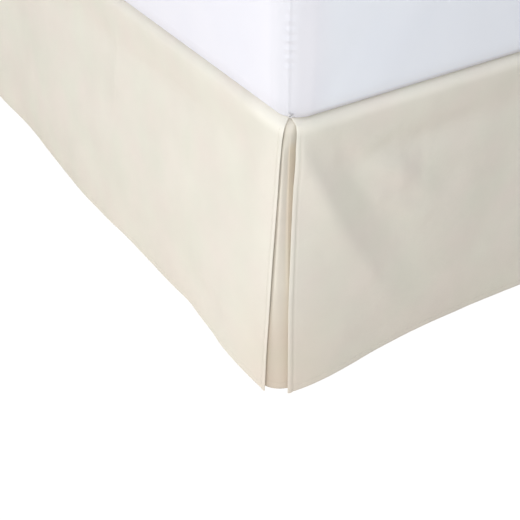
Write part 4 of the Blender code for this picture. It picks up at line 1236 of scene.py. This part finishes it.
def grow(name, lines, tree, **sizes):
    """A plain mesh that a tree makes on lines of points."""
    points = np.concatenate(lines)
    edges = []
    start = 0
    for line in lines:
        edges.extend((start + k, start + k + 1) for k in range(len(line) - 1))
        start += len(line)
    guide_mesh = bpy.data.meshes.new(f"{name}_guide")
    guide_mesh.from_pydata(points.tolist(), edges, [])
    guide = put_in_scene(f"{name}_guide", guide_mesh)
    modifier = guide.modifiers.new("grow", "NODES")
    modifier.node_group = tree
    for socket in tree.interface.items_tree:
        if socket.in_out == "INPUT" and socket.name in sizes:
            modifier[socket.identifier] = sizes[socket.name]
    evaluated = guide.evaluated_get(bpy.context.evaluated_depsgraph_get())
    mesh = bpy.data.meshes.new_from_object(evaluated)
    mesh.name = name
    guide.modifiers.remove(modifier)
    bpy.data.objects.remove(guide)
    return put_in_scene(name, mesh)


def drop_stitches(drop, tree):
    """Stitch lines of a drop: along the bottom hem and down each side hem."""
    along = stations((STITCH_STEP, drop.length - STITCH_STEP, STITCH_STEP))
    lines = [drop_points(drop, along, np.full(len(along), HEM_SEAM))]
    down = stations((STITCH_TOP, HEM_SEAM, STITCH_STEP))
    side_seams = [end + inward * SIDE_SEAM for end, inward in drop.splits]
    if not drop.is_foot:
        side_seams.append(drop.length - HEM_WIDTH + STITCH_IN)
    lines.extend(drop_points(drop, np.full(len(down), at), down) for at in side_seams)
    lift = np.array(drop.out_axis) * STITCH_LIFT
    return grow(f"{drop.name}_stitches", [line + lift for line in lines], tree)


def underlay_stitches(name, mirror, corner, tree):
    turns, fars = underlay_columns()
    seam = np.full(len(turns), UNDERLAY_SEAM)
    return grow(name, [underlay_points(mirror, corner, turns, fars, seam)], tree)


# --- Mattress, fitted sheet and box spring -------------------------------------------------------------
def box_of(node):
    """A solid's lowest and highest corner."""
    return tuple(np.array(corner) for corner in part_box(node))


def box_skin(xs, ys, zs):
    """Points and outward quads of a closed block ruled by stations on three axes."""
    skin = np.zeros((len(xs), len(ys), len(zs)), bool)
    skin[[0, -1]] = True
    skin[:, [0, -1]] = True
    skin[:, :, [0, -1]] = True
    number = np.full(skin.shape, -1)
    number[skin] = np.arange(skin.sum())
    i, j, k = np.nonzero(skin)
    points = np.stack((xs[i], ys[j], zs[k]), -1)
    quads = []
    sides = (
        (number[-1], False), (number[0], True), (number[:, -1], True),
        (number[:, 0], False), (number[:, :, -1], False), (number[:, :, 0], True),
    )
    for side, is_turned in sides:
        corners = np.stack((side[:-1, :-1], side[1:, :-1], side[1:, 1:], side[:-1, 1:]), -1)
        quads.append(corners.reshape(-1, 4)[:, ::-1] if is_turned else corners.reshape(-1, 4))
    return points, np.concatenate(quads)


def round_off(points, low, high, corner, top, bottom):
    """Points of a block brought onto its rounded form, and the outward way at each."""
    core = np.clip(points, low + (corner, corner, bottom.tall), high - (corner, corner, top.tall))
    away = points - core
    level = away[:, :2]
    ways = level / np.maximum(np.linalg.norm(level, axis=1, keepdims=True), 1e-9)
    reach = np.abs(level).max(axis=1)
    is_top = away[:, 2] > 0
    inward = np.where(is_top, top.inward, bottom.inward)
    tall = np.where(is_top, top.tall, bottom.tall)
    over = np.maximum(reach - (corner - inward), 0.0) / inward
    rise = away[:, 2] / tall
    size = np.maximum(np.hypot(over, rise), 1e-9)
    size = np.where(np.maximum(over, np.abs(rise)) > 0, size, 1.0)
    reach = reach - over * inward + over / size * inward
    placed = np.column_stack((core[:, :2] + ways * reach[:, None], core[:, 2] + rise / size * tall))
    outward = np.column_stack((ways * (over / inward)[:, None], rise / tall))
    return placed, lengthen(outward)


def make_padded(name, node, grid, corner, rims, relief, material):
    """A solid's block, ruled by three axes' stations and rounded off, with a relief on its skin."""
    low, high = box_of(node)
    flat_points, quads = box_skin(*grid)
    points, outward = round_off(flat_points, low, high, corner, *rims)
    points = points + outward * relief(points, outward, low, high)[:, None]
    return make_mesh(name, points, quads, material)


def upright_share(outward):
    """1 on an upright side, 0 on the top and the bottom."""
    return ease(1.0 - np.abs(outward[:, 2]) * SIDE_END)


def height_share(points, low, high):
    return np.clip((points[:, 2] - low[2]) / (high[2] - low[2]), 0.0, 1.0)


def make_mattress(material):
    """A mattress in its fitted sheet, ruled most finely about the foot corners' seams."""
    low, high = box_of("mattress")
    edge = MATTRESS_BOTTOM_RIM.inward
    grid = []
    for axis, far_step in ((0, CORNER_STEP), (1, HEAD_CORNER_STEP)):
        start, end = low[axis], high[axis]
        fine_end = start + MATTRESS_FINE[axis]
        grid.append(stations(
            (start, start + edge, edge / 4),
            (start + edge, start + MATTRESS_CORNER, CORNER_STEP),
            (start + MATTRESS_CORNER, fine_end, FINE_STEP),
            (fine_end, end - MATTRESS_CORNER, WIDE_STEP),
            (end - MATTRESS_CORNER, end - edge, far_step),
            (end - edge, end, edge / 4),
        ))
    fine_top = low[2] + MATTRESS_FINE[2]
    grid.append(stations(
        (low[2], low[2] + MATTRESS_BOTTOM_RIM.tall, RIM_RISE),
        (low[2] + MATTRESS_BOTTOM_RIM.tall, fine_top, SEAM_RISE),
        (fine_top, high[2] - MATTRESS_TOP_RIM.tall, SIDE_RISE),
        (high[2] - MATTRESS_TOP_RIM.tall, high[2], TOP_RISE),
    ))
    rims = (MATTRESS_TOP_RIM, MATTRESS_BOTTOM_RIM)
    name = "mattress_in_fitted_sheet"
    return make_padded(name, "mattress", grid, MATTRESS_CORNER, rims, sheet_relief, material)


def sheet_relief(points, outward, low, high):
    """How far the fitted sheet stands off the plain form: full sides, drags, and drawn corners."""
    x, y, z = points.T
    side = upright_share(outward)
    up = ease(outward[:, 2] * SIDE_END - TOP_START)
    full = np.sin(math.pi * height_share(points, low, high)) ** SIDE_FULLNESS_POWER
    relief = side * SIDE_FULLNESS * full
    relief = relief + side * np.abs(outward[:, 1]) * ridge_height(FOOT_DRAGS, x - low[0], z)
    relief = relief + side * np.abs(outward[:, 0]) * ridge_height(SIDE_DRAGS, y - low[1], z)
    # Long low swells of the top that are never in step.
    swell = np.sin(x / 0.115 + 0.6) * np.sin(y / 0.128 + 1.1) + 0.6 * np.sin((x + 0.7 * y) / 0.071)
    relief = relief + up * TOP_SOFTNESS * swell * 0.5
    turn = np.degrees(np.arctan2(np.abs(outward[:, 0]), np.maximum(-outward[:, 1], 0.0)))
    from_seam = np.radians(turn - SEAM_TURN) * MATTRESS_CORNER
    at_corner = side * (np.hypot(outward[:, 0], outward[:, 1]) > 0) * (outward[:, 1] < -1e-3)
    seam = SEAM_HEIGHT * near(from_seam, SEAM_WIDTH)
    puckers = np.sin(2 * math.pi * z / SEAM_PUCKER_PITCH + 1.7 * np.sin(z / 19 / MM))
    puckers = puckers * (0.6 + 0.4 * np.sin(z / 23 / MM))
    puckers = puckers * ease((z - SEAM_PUCKERS_FROM) / SEAM_PUCKERS_EASE)
    drawn = CORNER_PUCKER * near(from_seam, SEAM_REACH) * puckers
    return relief + at_corner * (seam + drawn)


def make_box_spring(material):
    """The box spring in its ticking, a little slack on its sides."""
    low, high = box_of("box_spring")
    grid = [
        stations(
            (low[axis], low[axis] + edge, edge_step),
            (low[axis] + edge, high[axis] - edge, step),
            (high[axis] - edge, high[axis], edge_step),
        )
        for axis, edge, edge_step, step in (
            (0, BOX_SPRING_CORNER, 5 * MM, 30 * MM),
            (1, BOX_SPRING_CORNER, 5 * MM, 30 * MM),
            (2, BOX_SPRING_RIM.tall, 2 * MM, 10 * MM),
        )
    ]
    rims = (BOX_SPRING_RIM, BOX_SPRING_RIM)
    name = "box_spring_in_ticking"
    return make_padded(name, "box_spring", grid, BOX_SPRING_CORNER, rims, ticking_relief, material)


def ticking_relief(points, outward, low, high):
    x, y, _ = points.T
    slack = np.sin(math.pi * height_share(points, low, high)) * (np.sin(x / 0.09) + np.sin(y / 0.11 + 0.5))
    return slack * BOX_SPRING_SLACK * upright_share(outward)


def rim_line(low, high, z):
    """A closed line just inside the box spring's rounded outline, at a height."""
    corner = BOX_SPRING_CORNER
    radius = corner - PIPING_IN
    centres = (
        (high[0] - corner, low[1] + corner, -90), (high[0] - corner, high[1] - corner, 0),
        (low[0] + corner, high[1] - corner, 90), (low[0] + corner, low[1] + corner, 180),
    )
    points = []
    for x, y, start in centres:
        for k in range(PIPING_CORNER_STEPS + 1):
            angle = math.radians(start + 90 * k / PIPING_CORNER_STEPS)
            points.append((x + radius * math.cos(angle), y + radius * math.sin(angle), z))
    points.append(points[0])
    return np.array(points)


# --- Deck, the sheet's corner and the floor --------------------------------------------------------------
def make_deck(material):
    """The flat cloth that the drops hang from, between mattress and box spring."""
    low, high = box_of("deck")
    xs, ys = (stations((low[axis] + DECK_INSET, high[axis] - DECK_INSET, DECK_STEP)) for axis in (0, 1))
    y, x = np.meshgrid(ys, xs, indexing="ij")
    z = high[2] - DECK_BELOW + DECK_RIPPLE * np.sin(x / 0.05) * np.sin(y / 0.06)
    points = np.stack((x, y, z), -1)
    thickness = np.full(x.shape, TWILL)
    return make_cloth("deck_cloth", points, thickness, points[..., :2], (0, 0, 1), material)


def make_sheet_tuck(name, sign, material):
    """The curled end of the fitted sheet's corner seam, drawn out under a foot corner."""
    low, _ = box_of("mattress")
    across = np.array((sign, 1.0, 0.0)) / math.sqrt(2)
    side = np.array((sign, -1.0, 0.0)) / math.sqrt(2)
    up = np.array((0, 0, 1))
    start = np.array((sign * (low[0] + TUCK_IN), low[1] + TUCK_IN, low[2] + TUCK_UP))
    numbers = range(len(TUCK_PATH))
    shares = np.linspace(0, len(TUCK_PATH) - 1, TUCK_STEPS)
    us, vs = (smooth_through(numbers, column, shares) for column in zip(*TUCK_PATH))
    middle = (TUCK_COLUMNS - 1) / 2
    points = np.zeros((TUCK_STEPS, TUCK_COLUMNS, 3))
    for i, (u, v) in enumerate(zip(us, vs)):
        for j, w in enumerate(np.linspace(-1, 1, TUCK_COLUMNS) * TUCK_HALF_WIDTH):
            bent = 1.0 - TUCK_TAPER * (j / middle - 1) ** 2
            points[i, j] = start + side * u * bent * MM + up * v * bent * MM - across * w
    thickness = np.full(points.shape[:2], TWILL)
    return make_cloth(name, points, thickness, np.zeros((*points.shape[:2], 2)), (0, 0, 1), material)


def outside_bed(tree, start, end):
    """0 under the bed and 1 outside it, between two distances past its sides."""
    parts = axes(tree, "place", object_place(tree))
    width = arithmetic(tree, "from middle", "ABSOLUTE", parts["X"])
    middle = arithmetic(tree, "from bed middle", "SUBTRACT", parts["Y"], (FOOT_Y + HEAD_Y) / 2)
    length = arithmetic(tree, "along bed", "ABSOLUTE", middle)
    past_side = span_between(tree, "past the side", width, SIDE_X + start, SIDE_X + end)
    past_end = span_between(tree, "past the end", length, BED_LENGTH / 2 + start, BED_LENGTH / 2 + end)
    return arithmetic(tree, "outside the bed", "MAXIMUM", past_side, past_end)


def floor_plane(name, material):
    bm = bmesh.new()
    bmesh.ops.create_grid(bm, x_segments=1, y_segments=1, size=FLOOR_SIZE)
    mesh = bpy.data.meshes.new(name)
    bm.to_mesh(mesh)
    bm.free()
    mesh.materials.append(material)
    plane = put_in_scene(name, mesh)
    return plane


def make_floor():
    """A pale floor that gives the bed its bounced light, and a white sheet on it that is only seen."""
    bounce, tree, shader = new_finish("pale_floor", 0.9)
    away = outside_bed(tree, FLOOR_SHADE_START, FLOOR_SHADE_REACH)
    ramp = blend_colours(tree, "darker beside the bed", away, FLOOR_SHADED, FLOOR_BOUNCE)
    tree.links.new(ramp, shader.inputs["Base Color"])
    floor_plane("floor", bounce).visible_camera = False
    white, tree, shader = new_finish(
        "white_floor_sheet", 1.0, Base_Color=FLOOR_SHEET_GREY, Emission_Color=(1.0, 1.0, 1.0, 1.0)
    )
    tree.links.new(outside_bed(tree, -FLOOR_SHEET_INSET, 0.0), shader.inputs["Emission Strength"])
    sheet = floor_plane("floor_sheet", white)
    for kind in ("diffuse", "glossy", "transmission", "shadow"):
        setattr(sheet, f"visible_{kind}", False)


# --- Putting it together -----------------------------------------------------------------------------------
def place_piece(piece, slot, *nodes):
    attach(piece, "root")
    if nodes:
        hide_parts(*nodes)
    return piece


def dress_drops(side_twill, foot_twill, stitches):
    for drop in (DROP_LEFT, DROP_FOOT, DROP_RIGHT):
        twill = foot_twill if drop.is_foot else side_twill
        cloth = place_piece(make_drop(drop, twill), "skirt_twill", drop.name)
        thread = place_piece(drop_stitches(drop, stitches), "skirt_twill")


def dress_underlays(twill, stitches):
    corners = (("corner_underlay_left", 1, LEFT_CORNER), ("corner_underlay_right", -1, RIGHT_CORNER))
    for node, mirror, corner in corners:
        cloth = place_piece(make_underlay(f"{node}_twill", mirror, corner, twill), "skirt_twill", node)
        thread = place_piece(underlay_stitches(f"{node}_stitches", mirror, corner, stitches), "skirt_twill")


def dress_deck():
    deck = place_piece(make_deck(make_deck_cotton()), "deck_cloth", "deck")


def dress_bed(percale, ticking, piping):
    """Mattress and box spring, the drawn-out ends of the sheet's overlocked seams, and the piping."""
    mattress = place_piece(make_mattress(percale), "white_cover", "mattress")
    spring = place_piece(make_box_spring(ticking), "box_spring_ticking", "box_spring")
    white = make_thread("white_thread", 0.5, 0.2, WHITE_THREAD_TONES)
    place_piece(make_sheet_tuck("sheet_tuck_left", 1, white), "white_cover")
    place_piece(make_sheet_tuck("sheet_tuck_right", -1, white), "white_cover")
    low, high = box_of("box_spring")
    rim = BOX_SPRING_RIM.tall
    rims = [rim_line(low, high, low[2] + rim), rim_line(low, high, high[2] - rim)]
    place_piece(grow("box_spring_piping", rims, piping, Radius=PIPING_RADIUS), "box_spring_ticking")


def dress_frame(enamel, plastic):
    """The steel frame keeps its solids' own meshes."""
    for name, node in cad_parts.items():
        if name.startswith(("rail_", "cross_rail_", "leg_")):
            paint(node, enamel)
        if name.startswith("glide_"):
            paint(node, plastic)


def paint(node, material):
    node.data.materials.clear()
    node.data.materials.append(material)


def main():
    make_camera()
    make_lights()
    make_floor()
    # The foot copy carries the painted highlight along its whole top edge, the side copy only near the foot
    # corners.
    side_twill = make_ivory_twill("ivory_twill_side", IVORY_TONES, TURN_HIGHLIGHT_REACH)
    foot_twill = make_ivory_twill("ivory_twill_foot", IVORY_TONES, 2 * BED_WIDTH)
    # The underlay's copy is painted darker and warmer as shade, and gets the underlay's painted shades too.
    shaded_inner_twill = make_ivory_twill("underlay_twill_painted_shade", UNDERLAY_SHADED_TONES, TURN_HIGHLIGHT_REACH, with_underlay_shade=True)
    stitches = make_stitch_tree(make_thread("ivory_thread", 0.55, 0.15, IVORY_THREAD_TONES))
    dress_drops(side_twill, foot_twill, stitches)
    dress_underlays(shaded_inner_twill, stitches)
    dress_deck()
    ticking = make_ticking()
    dress_bed(make_white_percale(), ticking, make_piping_tree(ticking))
    dress_frame(make_brown_enamel(), make_black_plastic())
    bpy.context.scene.view_settings.view_transform = "Standard"


main()
